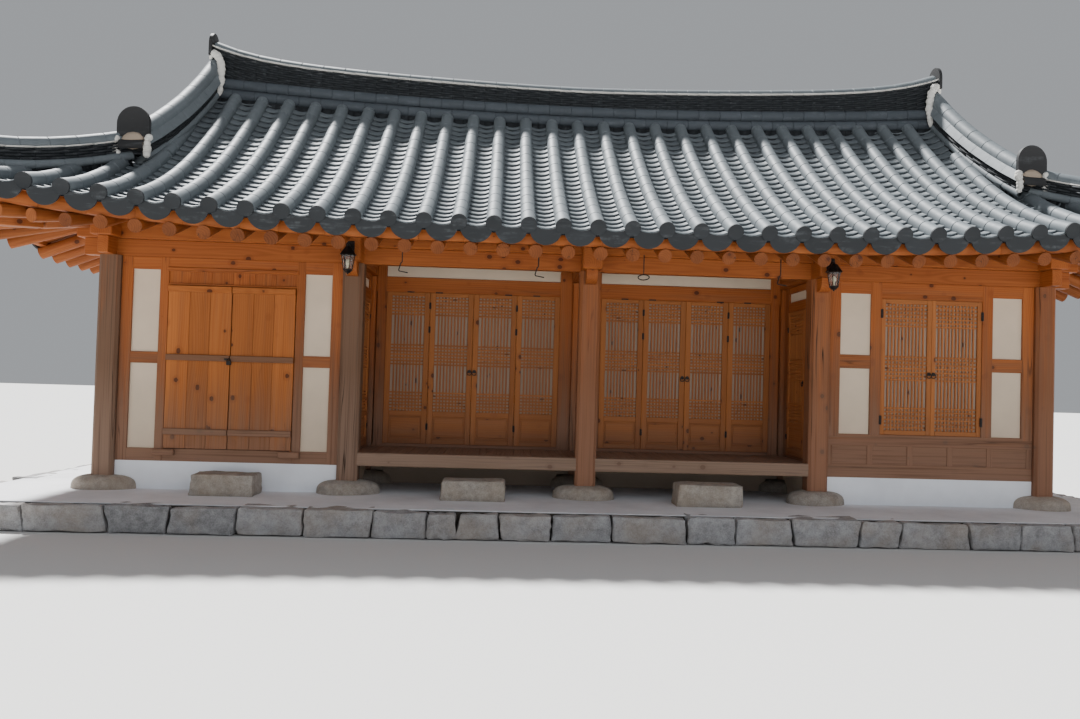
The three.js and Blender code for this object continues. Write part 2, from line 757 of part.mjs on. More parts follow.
// Makes a box in a wall: s runs along the wall, t across it, both in house coordinates.
function wallBox(axis, s0, s1, t0, t1, z0, z1) {
  return axis === 'x' ? block(s0, s1, t0, t1, z0, z1) : block(t0, t1, s0, s1, z0, z1);
}

// A framed wall: timber members with plaster panels held in their grooves, on a foundation.
function wallSet(axis, centre, members, panels, foundation) {
  const half = FRAME_THICK / 2;
  const timbers = fuse(members.map(([s0, s1, z0, z1]) => (
    wallBox(axis, s0, s1, centre - half, centre + half, z0, z1)
  )));
  const slab = (grow) => fuse([
    ...panels.map(([s0, s1, z0, z1]) => wallBox(
      axis, s0 - grow, s1 + grow, centre - PLASTER_THICK / 2 - grow,
      centre + PLASTER_THICK / 2 + grow, z0 - grow, z1 + grow,
    )),
    ...foundation.map(([s0, s1]) => wallBox(
      axis, s0 - grow, s1 + grow, centre - FOUNDATION_THICK / 2 - grow,
      centre + FOUNDATION_THICK / 2 + grow, PLATFORM_TOP + GAP - grow, SILL_BOTTOM - GAP + grow,
    )),
  ]);
  return { frame: timbers.subtract(slab(GAP)), plaster: slab(0), groove: slab(GAP) };
}

const wallTop = BEAM_BOTTOM - GAP;
const columnHalf = COLUMN / 2 + GAP;

// First bay: plank doors between two plaster panels.
const plankBay = { centre: -1.5 * BAY, left: -2 * BAY + columnHalf, right: -BAY - columnHalf };
{
  const { centre, left, right } = plankBay;
  const opening = PLANK_OPENING / 2;
  const post = opening + PLANK_POST;
  const rail = [MID_RAIL_LOW, MID_RAIL_HIGH];
  const members = [
    [left, right, SILL_BOTTOM, SILL_TOP],
    [left, right, LINTEL_BOTTOM, wallTop],
    [left, left + SIDE_POST, SILL_BOTTOM, wallTop],
    [right - SIDE_POST, right, SILL_BOTTOM, wallTop],
    [centre - post, centre - opening, SILL_BOTTOM, wallTop],
    [centre + opening, centre + post, SILL_BOTTOM, wallTop],
    [left, centre - opening, ...rail],
    [centre + opening, right, ...rail],
    [centre - post, centre + post, PLANK_HEAD - 4, PLANK_HEAD + 20],
  ];
  const panels = [
    [left + 15, centre - post + GROOVE, SILL_BOTTOM - 10, LINTEL_BOTTOM + GROOVE],
    [centre + post - GROOVE, right - 15, SILL_BOTTOM - 10, LINTEL_BOTTOM + GROOVE],
  ];
  const { frame, plaster: slab } = wallSet('x', -HALF_DEPTH, members, panels, [[left, right]]);
  const transom = block(
    centre - opening - 5, centre + opening + 5, -HALF_DEPTH - 22, -HALF_DEPTH + 4,
    PLANK_HEAD, LINTEL_BOTTOM + 5,
  );
  const pivots = [-1, 1].map((side) => block(
    centre + side * 615 - 105, centre + side * 615 + 105, -HALF_DEPTH - 100, -HALF_DEPTH - 40,
    SILL_TOP - 66, SILL_TOP - 4,
  ));
  const sockets = fuse([-1, 1].map((side) => pin(
    centre + side * (opening - LEAF_GAP), -HALF_DEPTH - FRAME_THICK / 2 - PLANK_PROUD,
    PIVOT_RADIUS + 3, SILL_TOP - 4, SILL_TOP + 12,
  )));
  addPiece('front_left_wall_frame', fuse([frame, transom, ...pivots]).subtract(sockets), pine);
  addPiece('front_left_wall_plaster', slab.subtract(stonesCut), plaster);
}

// Fourth bay: a two-leaf lattice window over a panelled wainscot.
const windowBay = { centre: 1.5 * BAY, left: BAY + columnHalf, right: 2 * BAY - columnHalf };
{
  const { centre, left, right } = windowBay;
  const opening = WINDOW_OPENING / 2;
  const post = opening + WINDOW_POST;
  const rail = [WINDOW_MID_LOW, WINDOW_MID_HIGH];
  const members = [
    [left, right, SILL_BOTTOM, WINDOW_SILL],
    [left, right, LINTEL_BOTTOM, wallTop],
    [left, left + WINDOW_SIDE_POST, SILL_BOTTOM, wallTop],
    [right - WINDOW_SIDE_POST, right, SILL_BOTTOM, wallTop],
    [centre - post, centre - opening, SILL_BOTTOM, wallTop],
    [centre + opening, centre + post, SILL_BOTTOM, wallTop],
    [left, centre - opening, ...rail],
    [centre + opening, right, ...rail],
    [centre - post, centre + post, WINDOW_HEAD, LINTEL_BOTTOM + 10],
  ];
  const panels = [
    [left + 15, centre - post + GROOVE, SILL_BOTTOM - 10, LINTEL_BOTTOM + GROOVE],
    [centre + post - GROOVE, right - 15, SILL_BOTTOM - 10, LINTEL_BOTTOM + GROOVE],
  ];
  const { frame, plaster: slab } = wallSet('x', -HALF_DEPTH, members, panels, [[left, right]]);
  const panelCount = 5;
  const span = right - left - 60;
  const reliefs = [];
  for (let i = 0; i < panelCount; i += 1) {
    const start = left + 60 + (i * span) / panelCount;
    reliefs.push(block(
      start, start + span / panelCount - 60, -HALF_DEPTH - FRAME_THICK, -HALF_DEPTH - 33,
      WAINSCOT_LOW, WAINSCOT_HIGH,
    ));
  }
  addPiece('front_right_wall_frame', frame.subtract(fuse(reliefs)), pine);
  addPiece('front_right_wall_plaster', slab.subtract(stonesCut), plaster);
}

// A lattice leaf: stiles and rails around a paper panel, with a board panel low down if asked.
function latticeLeaf(axis, s0, s1, front, inward, z0, z1, lattice, board) {
  const back = front + inward * LEAF_THICK;
  const [t0, t1] = [Math.min(front, back), Math.max(front, back)];
  let leaf = wallBox(axis, s0, s1, t0, t1, z0, z1);
  const pocketEnd = front + inward * (LEAF_THICK - PAPER_THICK);
  const [p0, p1] = [Math.min(front - inward * 5, pocketEnd), Math.max(front - inward * 5, pocketEnd)];
  leaf = leaf.subtract(wallBox(axis, s0 + LEAF_STILE, s1 - LEAF_STILE, p0, p1, lattice[0], lattice[1]));
  if (board) {
    const reliefEnd = front + inward * 12;
    const [r0, r1] = [Math.min(front - inward * 5, reliefEnd), Math.max(front - inward * 5, reliefEnd)];
    leaf = leaf.subtract(wallBox(axis, s0 + LEAF_STILE, s1 - LEAF_STILE, r0, r1, board[0], board[1]));
  }
  return leaf;
}

{
  const half = WINDOW_OPENING / 2;
  const front = -HALF_DEPTH - FRAME_THICK / 2 + 8;
  const lattice = [WINDOW_SILL + 50, WINDOW_HEAD - 50];
  for (const [name, side] of [['left', -1], ['right', 1]]) {
    const s = [windowBay.centre, windowBay.centre + side * half].sort((a, b) => a - b);
    const leaf = latticeLeaf(
      'x', s[0] + GAP, s[1] - GAP, front, 1, WINDOW_SILL + GAP, WINDOW_HEAD - GAP, lattice,
    );
    addPiece(`window_leaf_${name}`, leaf, paleBoard);
  }
}

// Plank doors that swing outward on pivots that stand on the wooden blocks at the sill.
{
  const front = -HALF_DEPTH - FRAME_THICK / 2 - PLANK_PROUD;
  const width = PLANK_OPENING / 2 - LEAF_GAP - PLANK_MEETING_GAP / 2;
  const bottom = SILL_TOP + LEAF_GAP;
  const top = PLANK_HEAD - 4 - LEAF_GAP;
  const battens = [[795, 855], [1535, 1595], [top - 60, top]];
  for (const [name, side] of [['left', -1], ['right', 1]]) {
    const outer = plankBay.centre + side * (PLANK_OPENING / 2 - LEAF_GAP);
    const inner = outer - side * width;
    const [x0, x1] = [Math.min(outer, inner), Math.max(outer, inner)];
    const bars = battens.map(([z0, z1]) => block(x0, x1, front - BATTEN_THICK, front + 5, z0, z1));
    const leaf = block(x0, x1, front, front + PLANK_THICK, bottom, top);
    const pivot = pin(outer, front, PIVOT_RADIUS, SILL_TOP - 4 + GAP, bottom + 4);
    addPiece(`plank_door_${name}`, fuse([leaf, pivot, ...bars]), paleBoard);
  }
}

// Recessed wall behind the porch, with eight folding leaves.
const recessPosts = (grow) => fuse([-BAY, 0, BAY].map((x) => block(
  x - POST / 2 - grow, x + POST / 2 + grow, RECESS_Y - POST / 2 - grow, RECESS_Y + POST / 2 + grow,
  BASE_STONE_TOP + GAP - grow, wallTop + grow,
)));
const postHalf = POST / 2;
const topBeam = [3200, 3420];
{
  const outer = BAY - 1;
  const members = [
    [-outer, outer, SILL_BOTTOM, THRESHOLD],
    [-outer, outer, FOLDING_HEAD, wallTop],
    [-outer, outer, ...topBeam],
  ];
  for (const side of [-1, 1]) {
    const wide = [side * FOLDING_OUTER, side * outer].sort((a, b) => a - b);
    const inner = [0, side * FOLDING_INNER].sort((a, b) => a - b);
    members.push([...wide, SILL_BOTTOM, topBeam[1]]);
    members.push([...inner, SILL_BOTTOM, topBeam[1]]);
  }
  const panels = [
    [-FOLDING_OUTER - GROOVE, FOLDING_OUTER + GROOVE, wallTop - GROOVE, topBeam[0] + GROOVE],
  ];
  const { frame, plaster: slab, groove } = wallSet('x', RECESS_Y, members, panels, []);
  const foundation = block(
    -outer, outer, RECESS_Y - FOUNDATION_THICK / 2, RECESS_Y + FOUNDATION_THICK / 2,
    PLATFORM_TOP + GAP, SILL_BOTTOM - GAP,
  ).subtract(recessPosts(GAP));
  const posts = recessPosts(0).subtract(groove);
  addPiece('porch_wall_frame', fuse([frame, posts])
    .intersect(belowRafters)
    .subtract(crossbeamCut), pine);
  addPiece('porch_wall_plaster', slab.subtract(crossbeamCut), plaster);
  const middle = foundation.intersect(block(-BAY + 91, -91, -2000, 2000, 0, 900));
  addPiece('porch_foundation_left', middle.subtract(stonesCut), plaster);
  addPiece('porch_foundation_right', mirrorX(middle).subtract(stonesCut), plaster);
}

{
  const leafCount = 4;
  const width = (FOLDING_OUTER - FOLDING_INNER) / leafCount;
  const front = RECESS_Y - FRAME_THICK / 2 + 8;
  let pairNumber = 1;
  for (const start of [-FOLDING_OUTER, FOLDING_INNER]) {
    for (let pair = 0; pair < 2; pair += 1) {
      const solids = [0, 1].map((i) => {
        const s0 = start + (pair * 2 + i) * width;
        return latticeLeaf(
          'x', s0 + (i ? FOLDING_GAP / 2 : GAP), s0 + width - (i ? GAP : FOLDING_GAP / 2), front, 1,
          THRESHOLD + GAP, FOLDING_HEAD - GAP, [FOLDING_LATTICE, FOLDING_HEAD - 45],
          [FOLDING_PANEL_LOW, FOLDING_PANEL_HIGH],
        );
      });
      const seam = start + (pair * 2 + 1) * width;
      const hinges = [850, 1230, 2190].map((z) => (
        block(seam - 14, seam + 14, front - 4, front + 6, z, z + 70)
      ));
      addPiece(`folding_doors_${pairNumber}`, fuse([...solids, ...hinges]), paleBoard);
      pairNumber += 1;
    }
  }
}

// End walls of the porch, each with a single lattice door that opens into the porch.
{
  const front = -HALF_DEPTH + columnHalf;
  const back = RECESS_Y - postHalf - GAP;
  const members = [
    [front, back, SILL_BOTTOM, FLOOR_TOP + 20],
    [front, back, SIDE_DOOR_HEAD, 2400],
    [front, back, LINTEL_BOTTOM + 60, wallTop],
    [front, SIDE_DOOR_FRONT, SILL_BOTTOM, wallTop],
    [SIDE_DOOR_BACK, back, SILL_BOTTOM, wallTop],
  ];
  const panels = [
    [front + 15, SIDE_DOOR_FRONT - 40, SILL_BOTTOM - 10, 2530],
    [front + 15, back - 15, 2370, 2530],
  ];
  const { frame, plaster: slab } = wallSet('y', -BAY, members, panels, [[front, back]]);
  const cleared = frame.subtract(crossbeamCut);
  const panel = slab.subtract(crossbeamCut);
  const face = -BAY + FRAME_THICK / 2 + PLANK_PROUD;
  const axisY = SIDE_DOOR_BACK - LEAF_GAP;
  const knuckles = SIDE_HINGE_HEIGHTS.flatMap((z) => [
    pin(face, axisY, KNUCKLE_RADIUS, z - KNUCKLE_HEIGHT, z - GAP),
    block(face - 9, face + KNUCKLE_RADIUS, axisY, axisY + 40, z - KNUCKLE_HEIGHT, z - GAP),
  ]);
  const hungFrame = fuse([cleared, ...knuckles]);
  addPiece('porch_left_end_frame', hungFrame, pine);
  addPiece('porch_left_end_plaster', panel.subtract(stonesCut), plaster);
  addPiece('porch_right_end_frame', mirrorX(hungFrame), pine);
  addPiece('porch_right_end_plaster', mirrorX(panel).subtract(stonesCut), plaster);
  const leaf = latticeLeaf(
    'y', SIDE_DOOR_FRONT + LEAF_GAP, axisY, face, -1, FLOOR_TOP + 20 + LEAF_GAP,
    SIDE_DOOR_HEAD - LEAF_GAP, [FOLDING_LATTICE, SIDE_DOOR_HEAD - 50],
    [FOLDING_PANEL_LOW + 20, FOLDING_PANEL_HIGH],
  );
  const notches = fuse(SIDE_HINGE_HEIGHTS.map((z) => (
    pin(face, axisY, KNUCKLE_RADIUS + 2, z - KNUCKLE_HEIGHT - 2, z)
  )));
  const plates = SIDE_HINGE_HEIGHTS.flatMap((z) => [
    pin(face, axisY, KNUCKLE_RADIUS, z, z + KNUCKLE_HEIGHT),
    block(face - 2, face + KNUCKLE_RADIUS - 2, axisY - 40, axisY, z, z + KNUCKLE_HEIGHT),
  ]);
  const door = fuse([leaf.subtract(notches), ...plates]);
  addPiece('side_door_left', door, paleBoard);
  addPiece('side_door_right', mirrorX(door), paleBoard);
}

// End walls of the house, in two plaster bays with a middle post.
{
  const ends = [-HALF_DEPTH + columnHalf, HALF_DEPTH - columnHalf];
  const middle = POST / 2;
  const members = [
    [...ends, SILL_BOTTOM, SILL_TOP],
    [...ends, MID_RAIL_LOW, MID_RAIL_HIGH],
    [...ends, LINTEL_BOTTOM, wallTop],
    [ends[0], ends[0] + SIDE_POST, SILL_BOTTOM, wallTop],
    [ends[1] - SIDE_POST, ends[1], SILL_BOTTOM, wallTop],
    [RECESS_Y - middle, RECESS_Y + middle, SILL_BOTTOM, wallTop],
    [525 - middle, 525 + middle, SILL_BOTTOM, wallTop],
  ];
  const panels = [[ends[0] + 15, ends[1] - 15, SILL_BOTTOM - 10, LINTEL_BOTTOM + GROOVE]];
  const { frame, plaster: slab } = wallSet('y', -HALF_LENGTH, members, panels, [ends]);
  addPiece('left_end_wall_frame', frame, pine);
  addPiece('left_end_wall_plaster', slab.subtract(stonesCut), plaster);
  addPiece('right_end_wall_frame', mirrorX(frame), pine);
  addPiece('right_end_wall_plaster', mirrorX(slab).subtract(stonesCut), plaster);
}

// Back wall: five columns, plaster panels and a lattice window in each of the middle bays.
{
  const outer = HALF_LENGTH;
  const members = [
    [-outer, outer, SILL_BOTTOM, SILL_TOP],
    [-outer, outer, MID_RAIL_LOW - 380, MID_RAIL_HIGH - 380],
    [-outer, outer, LINTEL_BOTTOM, wallTop],
  ];
  for (const x of columnXs) {
    members.push([Math.max(x - 213, -outer), Math.min(x + 213, outer), SILL_BOTTOM, wallTop]);
  }
  const windowHalf = 420;
  const windowLow = MID_RAIL_HIGH - 380;
  const windowHigh = 2200;
  const panels = [[-outer + 110, outer - 110, SILL_BOTTOM - 10, LINTEL_BOTTOM + GROOVE]];
  for (const x of [-BAY / 2, BAY / 2]) {
    members.push([x - windowHalf - 90, x + windowHalf + 90, windowHigh, windowHigh + 90]);
    members.push([x - windowHalf - 90, x - windowHalf, windowLow - 20, windowHigh + 90]);
    members.push([x + windowHalf, x + windowHalf + 90, windowLow - 20, windowHigh + 90]);
  }
  const { frame, plaster: slab } = wallSet('x', HALF_DEPTH, members, panels, [
    [-outer + columnHalf, outer - columnHalf],
  ]);
  const openings = (grow) => fuse([-BAY / 2, BAY / 2].map((x) => block(
    x - windowHalf - grow, x + windowHalf + grow, 1000, 2600, windowLow - grow, windowHigh + grow,
  )));
  const columns = fuse(columnXs.map((x) => (
    columnSolid(x, HALF_DEPTH, COLUMN, BASE_STONE_TOP + GAP, columnTop)
  )));
  const columnsCut = fuse(columnXs.slice(1, 4).map((x) => (
    columnSolid(x, HALF_DEPTH, COLUMN + 2 * GAP, BASE_STONE_TOP, SILL_BOTTOM - GAP)
  )));
  const trimmed = slab.subtract(openings(45)).subtract(stonesCut);
  const sealed = fuse([-BAY / 2, BAY / 2].map((x) => [-1, 1].map((side) => latticeLeaf(
    'x', x + (side < 0 ? -windowHalf - 1 : 1), x + (side < 0 ? -1 : windowHalf + 1), 1838, -1,
    windowLow - 1, windowHigh + 1, [windowLow + 50, windowHigh - 50],
  ))).flat().concat([-BAY / 2, BAY / 2].map((x) => block(
    x - 3, x + 3, 1806, 1826, windowLow - 1, windowHigh + 1,
  ))));
  const grooves = slab.subtract(openings(45 - GAP));
  const frameCore = fuse([frame, columns]).subtract(fuse([grooves]));
  addPiece('back_wall_frame', frameCore.add(sealed).subtract(crossbeamCut), pine);
  addPiece('back_wall_plaster', trimmed.subtract(columnsCut).subtract(crossbeamCut), plaster);
}

// Floors: boards in the porch, a heated stone floor in the rooms.
{
  const side = BAY - FRAME_THICK / 2 - GAP;
  const front = -HALF_DEPTH - 85;
  const back = RECESS_Y - FRAME_THICK / 2 - GAP;
  const beams = fuse([
    block(-side, side, front, back, FLOOR_TOP - 36, FLOOR_TOP),
    block(-side, side, front, front + 95, SILL_BOTTOM, FLOOR_TOP),
    block(-side, side, back - 90, back, SILL_BOTTOM, FLOOR_TOP),
    block(-1290, -1190, front, back, SILL_BOTTOM + 20, FLOOR_TOP),
    block(1190, 1290, front, back, SILL_BOTTOM + 20, FLOOR_TOP),
  ]);
  const columnCuts = fuse([-BAY, 0, BAY].map((x) => (
    columnSolid(x, -HALF_DEPTH, COLUMN + 2 * GAP, 300, 2500)
  )));
  const posts = recessPosts(GAP);
  addPiece('porch_floor', beams.subtract(columnCuts).subtract(posts), paleBoard);
}

{
  const x = HALF_LENGTH - FOUNDATION_THICK / 2 - GAP;
  const y = HALF_DEPTH - FOUNDATION_THICK / 2 - GAP;
  const top = 640;
  const bottom = PLATFORM_TOP + GAP;
  const whole = block(-x, x, -y, y, bottom, top);
  const inner = BAY + FOUNDATION_THICK / 2 + GAP;
  const porch = block(-inner, inner, -HALF_DEPTH - 10, RECESS_Y + FOUNDATION_THICK / 2 + GAP, 0, 900);
  const sillCut = FRAME_THICK / 2 + GAP;
  const sills = fuse([
    block(-HALF_LENGTH, HALF_LENGTH, HALF_DEPTH - sillCut, HALF_DEPTH, SILL_BOTTOM - GAP, 900),
    block(-HALF_LENGTH, -BAY, -HALF_DEPTH, -HALF_DEPTH + sillCut, SILL_BOTTOM - GAP, 900),
    block(BAY, HALF_LENGTH, -HALF_DEPTH, -HALF_DEPTH + sillCut, SILL_BOTTOM - GAP, 900),
    block(-BAY - sillCut, BAY + sillCut, -HALF_DEPTH, RECESS_Y + sillCut, SILL_BOTTOM - GAP, 900),
    block(-HALF_LENGTH, -HALF_LENGTH + sillCut, -HALF_DEPTH, HALF_DEPTH, SILL_BOTTOM - GAP, 900),
    block(HALF_LENGTH - sillCut, HALF_LENGTH, -HALF_DEPTH, HALF_DEPTH, SILL_BOTTOM - GAP, 900),
  ]);
  const columnCuts = fuse([...stoneSpots].map(([cx, cy]) => (
    columnSolid(cx, cy, COLUMN + 2 * GAP, 300, 2500)
  )));
  const solid = whole.subtract(porch).subtract(sills).subtract(columnCuts)
    .subtract(recessPosts(GAP))
    .subtract(stonesCut);
  addPiece('room_floor', solid, ondol);
}

// Roof pieces above the purlins.
addPiece('rafters_front', mainBody(frontRafters), pine);
addPiece('rafters_back', mainBody(mirrorY(frontRafters).intersect(underBoards)), pine);
addPiece('rafters_right', mainBody(sideRafters), pine);
addPiece('rafters_left', mainBody(mirrorX(sideRafters)), pine);
addPiece('roof_tile_bed', roofBed, tile);

// Gable walls under the verges, with barge boards along the slopes.
function gableWall() {
  const slope = bothSigns([0, 450, 900, 1350]).map((y) => (
    [y, tileHeight(GABLE_WALL_X, y, frontDistance(GABLE_WALL_X, y)) - VERGE_THICK / 2]
  ));
  const outline = [[-1350, 3400], ...slope, [1350, 3400]];
  const wallPart = prism(outline, 'x', GABLE_WALL_X + 8, GABLE_WALL_X + 68);
  const edgePath = [-1440, -750, 0, 750, 1440].map((y) => (
    new THREE.Vector3(GABLE_EDGE_X - 30, y, tileHeight(GABLE_EDGE_X, y, frontDistance(GABLE_EDGE_X, y)))
  ));
  const boards = sweep(edgePath, [[-22, -420], [22, -420], [22, -100], [-22, -100]]);
  const stub = block(GABLE_WALL_X + 30, GABLE_EDGE_X - 30, -90, 90, 4080, 4400);
  const solid = fuse([wallPart, boards, stub]);
  return solid
    .subtract(roofBed.translate([0, 0, -GAP]))
    .subtract(roofBed.translate([0, 0, GAP]))
    .subtract(roofBed.translate([GAP, 0, 0]));
}

const gable = mainBody(gableWall());
addPiece('gable_right', gable, plaster);
addPiece('gable_left', mirrorX(gable), plaster);

// Main ridge, rising to both ends.
function ridgeTop(x) {
  return RIDGE_TOP_MID + (RIDGE_TOP_END - RIDGE_TOP_MID) * (Math.abs(x) / RIDGE_HALF) ** 2.6;
}

const bedCut = fuse([
  roofBed, ...[[0, 0, GAP], [GAP, 0, 0], [-GAP, 0, 0], [0, GAP, 0], [0, -GAP, 0]]
    .map((shift) => roofBed.translate(shift)),
]);
const ridgeXs = bothSigns([0, 1300, 2400, 3300, 4000, RIDGE_HALF]);
const ridgeOutline = (x) => {
  const foot = tileHeight(x, 170, frontDistance(x, 170)) - 8;
  const top = ridgeTop(x);
  return [[-175, foot], [175, foot], [170, foot + 190], [120, foot + 215], [105, top - 70],
    [50, top], [-50, top], [-105, top - 70], [-120, foot + 215], [-170, foot + 190]];
};
const endPlate = prism([
  [-165, 4830], [165, 4830], [165, 5250], [110, 5420], [0, 5520], [-110, 5420], [-165, 5250],
], 'x', RIDGE_HALF - 10, RIDGE_HALF + 35);
const mainRidge = mainBody(cappedLoft(
  ridgeXs.map((x) => ridgeOutline(x).map(([y, z]) => new THREE.Vector3(x, y, z))),
  ridgeOutline(0),
).add(endPlate).add(mirrorX(endPlate)).subtract(bedCut));
addPiece('main_ridge', mainRidge, tile);

// Gable ridge running down the verge, then the hip ridge out to the corner.
function ridgeSection(half, height) {
  return [[-half, -90], [half, -90], [half, 130], [half - 34, height - 60], [half - 65, height],
    [-half + 65, height], [-half + 34, height - 60], [-half, 130]];
}

function onTiles(x, y) {
  const distance = Math.min(frontDistance(x, y), Math.abs(x) > GABLE_EDGE_X ? sideDistance(x, y) : 1e9);
  return new THREE.Vector3(x, y, tileHeight(x, y, distance));
}

function cornerRidge() {
  const gablePath = [[4420, -40], [4450, -500], [4500, -950], [4560, -1350], [4620, -1720]]
    .map(([x, y]) => onTiles(x, y));
  const hipPath = [[4560, -1560], [4900, -1900], [5300, -2300], [5700, -2700], [6030, -3030]]
    .map(([x, y]) => onTiles(x, y));
  const gablePart = sweep(gablePath, ridgeSection(120, GABLE_RIDGE_HEIGHT));
  const hipPart = sweep(hipPath, ridgeSection(105, HIP_RIDGE_HEIGHT));
  return fuse([gablePart, hipPart]);
}

const mainRidgeCut = fuse([
  mainRidge, ...[[0, -GAP, 0], [0, GAP, 0], [GAP, 0, 0], [-GAP, 0, 0], [0, 0, -GAP]]
    .map((shift) => mainRidge.translate(shift)),
]);
const rawRidge = cornerRidge();
const ridgeSpots = {
  front_right: rawRidge,
  front_left: mirrorX(rawRidge),
  back_right: mirrorY(rawRidge),
  back_left: mirrorX(mirrorY(rawRidge)),
};
for (const [spot, solid] of Object.entries(ridgeSpots)) {
  addPiece(`corner_ridge_${spot}`, mainBody(solid.subtract(bedCut).subtract(mainRidgeCut)), tile);
}

// Wall lanterns on the beam heads beside the porch.
function lantern(x) {
  const face = -HALF_DEPTH - CROSSBEAM_HEAD - GAP;
  const axisY = face - 105;
  const ring = (radius, z) => HEXAGON.map(([a, b]) => (
    new THREE.Vector3(x + (a * radius) / RAFTER_RADIUS, axisY + (b * radius) / RAFTER_RADIUS, z)
  ));
  const body = cappedLoft([
    ring(22, 2425), ring(46, 2450), ring(46, 2462), ring(64, 2600), ring(84, 2606), ring(30, 2680),
    ring(12, 2700),
  ], HEXAGON);
  const plate = block(x - 42, x + 42, face - 14, face, 2640, 2750);
  const arm = block(x - 9, x + 9, axisY - 9, face - 4, 2690, 2712);
  return fuse([body, plate, arm]);
}

addPiece('lantern_left', lantern(-BAY), iron);
addPiece('lantern_right', lantern(BAY), iron);

export default group;
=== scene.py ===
import math

import bpy
import numpy as np
from mathutils import Matrix, Vector


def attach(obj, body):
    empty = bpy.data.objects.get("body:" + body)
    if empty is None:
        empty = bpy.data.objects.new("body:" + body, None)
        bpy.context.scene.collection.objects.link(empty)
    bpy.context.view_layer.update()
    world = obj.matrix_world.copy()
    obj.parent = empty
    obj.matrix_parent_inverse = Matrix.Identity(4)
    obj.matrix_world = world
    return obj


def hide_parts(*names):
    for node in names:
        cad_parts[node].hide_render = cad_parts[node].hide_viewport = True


bl_info = {
    "name": "Hanok House",
    "version": (1, 0, 0),
    "blender": (4, 5, 0),
    "location": "View3D > Sidebar > Hanok House",
    "description": "Dresses the frame of a timber house with tiles, timber, plaster, paper and stone",
    "category": "Object",
}

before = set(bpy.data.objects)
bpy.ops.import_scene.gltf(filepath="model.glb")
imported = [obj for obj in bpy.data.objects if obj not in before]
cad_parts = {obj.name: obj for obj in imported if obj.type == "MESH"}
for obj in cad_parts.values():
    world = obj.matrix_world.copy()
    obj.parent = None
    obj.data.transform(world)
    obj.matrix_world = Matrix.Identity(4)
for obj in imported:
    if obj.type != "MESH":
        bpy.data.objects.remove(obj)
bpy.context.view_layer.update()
HOUSE = "house"
RANDOM = np.random.default_rng(11)

# Plan and heights that the frame also has, in metres.
BAY = 2.4
HALF_LENGTH = 4.8
HALF_DEPTH = 1.8
RECESS_Y = -0.75
PLATFORM_TOP = 0.25
BASE_STONE_TOP = 0.39
BEAM_BOTTOM = 2.566
BEAM_TOP = 2.82
PURLIN_BOTTOM = 2.734
PURLIN_TOP = 2.93
SILL_BOTTOM = 0.528
SILL_TOP = 0.653
LINTEL_BOTTOM = 2.44
WALL_TOP = 2.5657
FLOOR_TOP = 0.66
COLUMN_HALF = 0.1053
POST_WIDTH = 0.108
WALL_HALF = 0.045
DOORS_INNER = 0.235
DOORS_OUTER = 2.195
EAVE_X = 5.95
EAVE_Y = 2.95
CORNER_X = 6.1
CORNER_Y = 3.1
CORNER_FLARE = 0.15
CORNER_LIFT = 0.38
EAVE_HEIGHT = 2.875
ROOF_RISE = 1.825
ROOF_CURVE = 0.3
GABLE_X = 4.4
GABLE_LIFT = 0.18
DECK_HEIGHT = 2.699
DECK_SLOPE = 0.4
RIDGE_SEAT = 0.02
HIP_SHIFT = 3.0
RAFTER_SETBACK = 0.15
RAFTER_SPACING = 0.3
SILL = (SILL_BOTTOM, SILL_TOP)
MIDDLE_RAIL = (1.5, 1.614)
LINTEL = (LINTEL_BOTTOM, WALL_TOP)

# Plan lines of the right-hand front ridges, and the mortar collar at an end of the main ridge.
GABLE_LINE = ((4.42, -0.04), (4.45, -0.5), (4.5, -0.95), (4.56, -1.35), (4.625, -1.8))
HIP_LINE = ((4.72, -1.72), (4.9, -1.9), (5.3, -2.3), (5.7, -2.7), (6.0, -3.0))
COLLAR = ((4.47, 0.06, 5.2), (4.42, 0.14, 5.245), (4.36, 0.18, 5.2), (4.325, 0.185, 5.11), (4.31, 0.19, 5.0),
          (4.305, 0.2, 4.9), (4.31, 0.215, 4.81), (4.325, 0.225, 4.73))

HALF_TURN = Matrix.Rotation(math.pi, 4, "Z")
LYING = (math.pi / 2, 0, 0)
CORNERS = ((1, 1), (1, -1), (-1, 1), (-1, -1))
SIDES = ((-1, "left"), (1, "right"))


def number(name, default, description, low=0.0):
    """A size that the panel shows."""
    return bpy.props.FloatProperty(
        name=name, default=default, description=description, min=low, max=2.0, unit="LENGTH",
    )


def colour(name, hex_value, description):
    """A colour that the panel shows."""
    return bpy.props.FloatVectorProperty(
        name=name, default=linear(hex_value), description=description, size=4, min=0, max=1, subtype="COLOR",
    )


def linear(hex_value):
    """An sRGB hex colour as the linear colour that a shader takes."""
    parts = [int(hex_value[i:i + 2], 16) / 255 for i in (1, 3, 5)]
    return tuple(c / 12.92 if c <= 0.04045 else ((c + 0.055) / 1.055) ** 2.4 for c in parts) + (1.0,)


class TileSizes(bpy.types.PropertyGroup):
    pitch: number("Row spacing", 0.315, "Distance between two rows of convex tiles")
    shift: number("Row shift", -0.045, "How far the middle row lies beside the house's middle", -1)
    radius: number("Convex radius", 0.072, "Outer radius of a convex tile")
    length: number("Convex length", 0.27, "Length that shows of a convex tile")
    lap: number("Concave lap", 0.137, "Length that shows of a concave tile")
    level: number("Level", -0.035, "Height of the middle of an end tile over the frame's roof", -1)
    sag: number("Concave depth", 0.062, "Depth of a concave tile under its edges")
    disc: number("End tile radius", 0.074, "Radius of the round tile that ends a row")


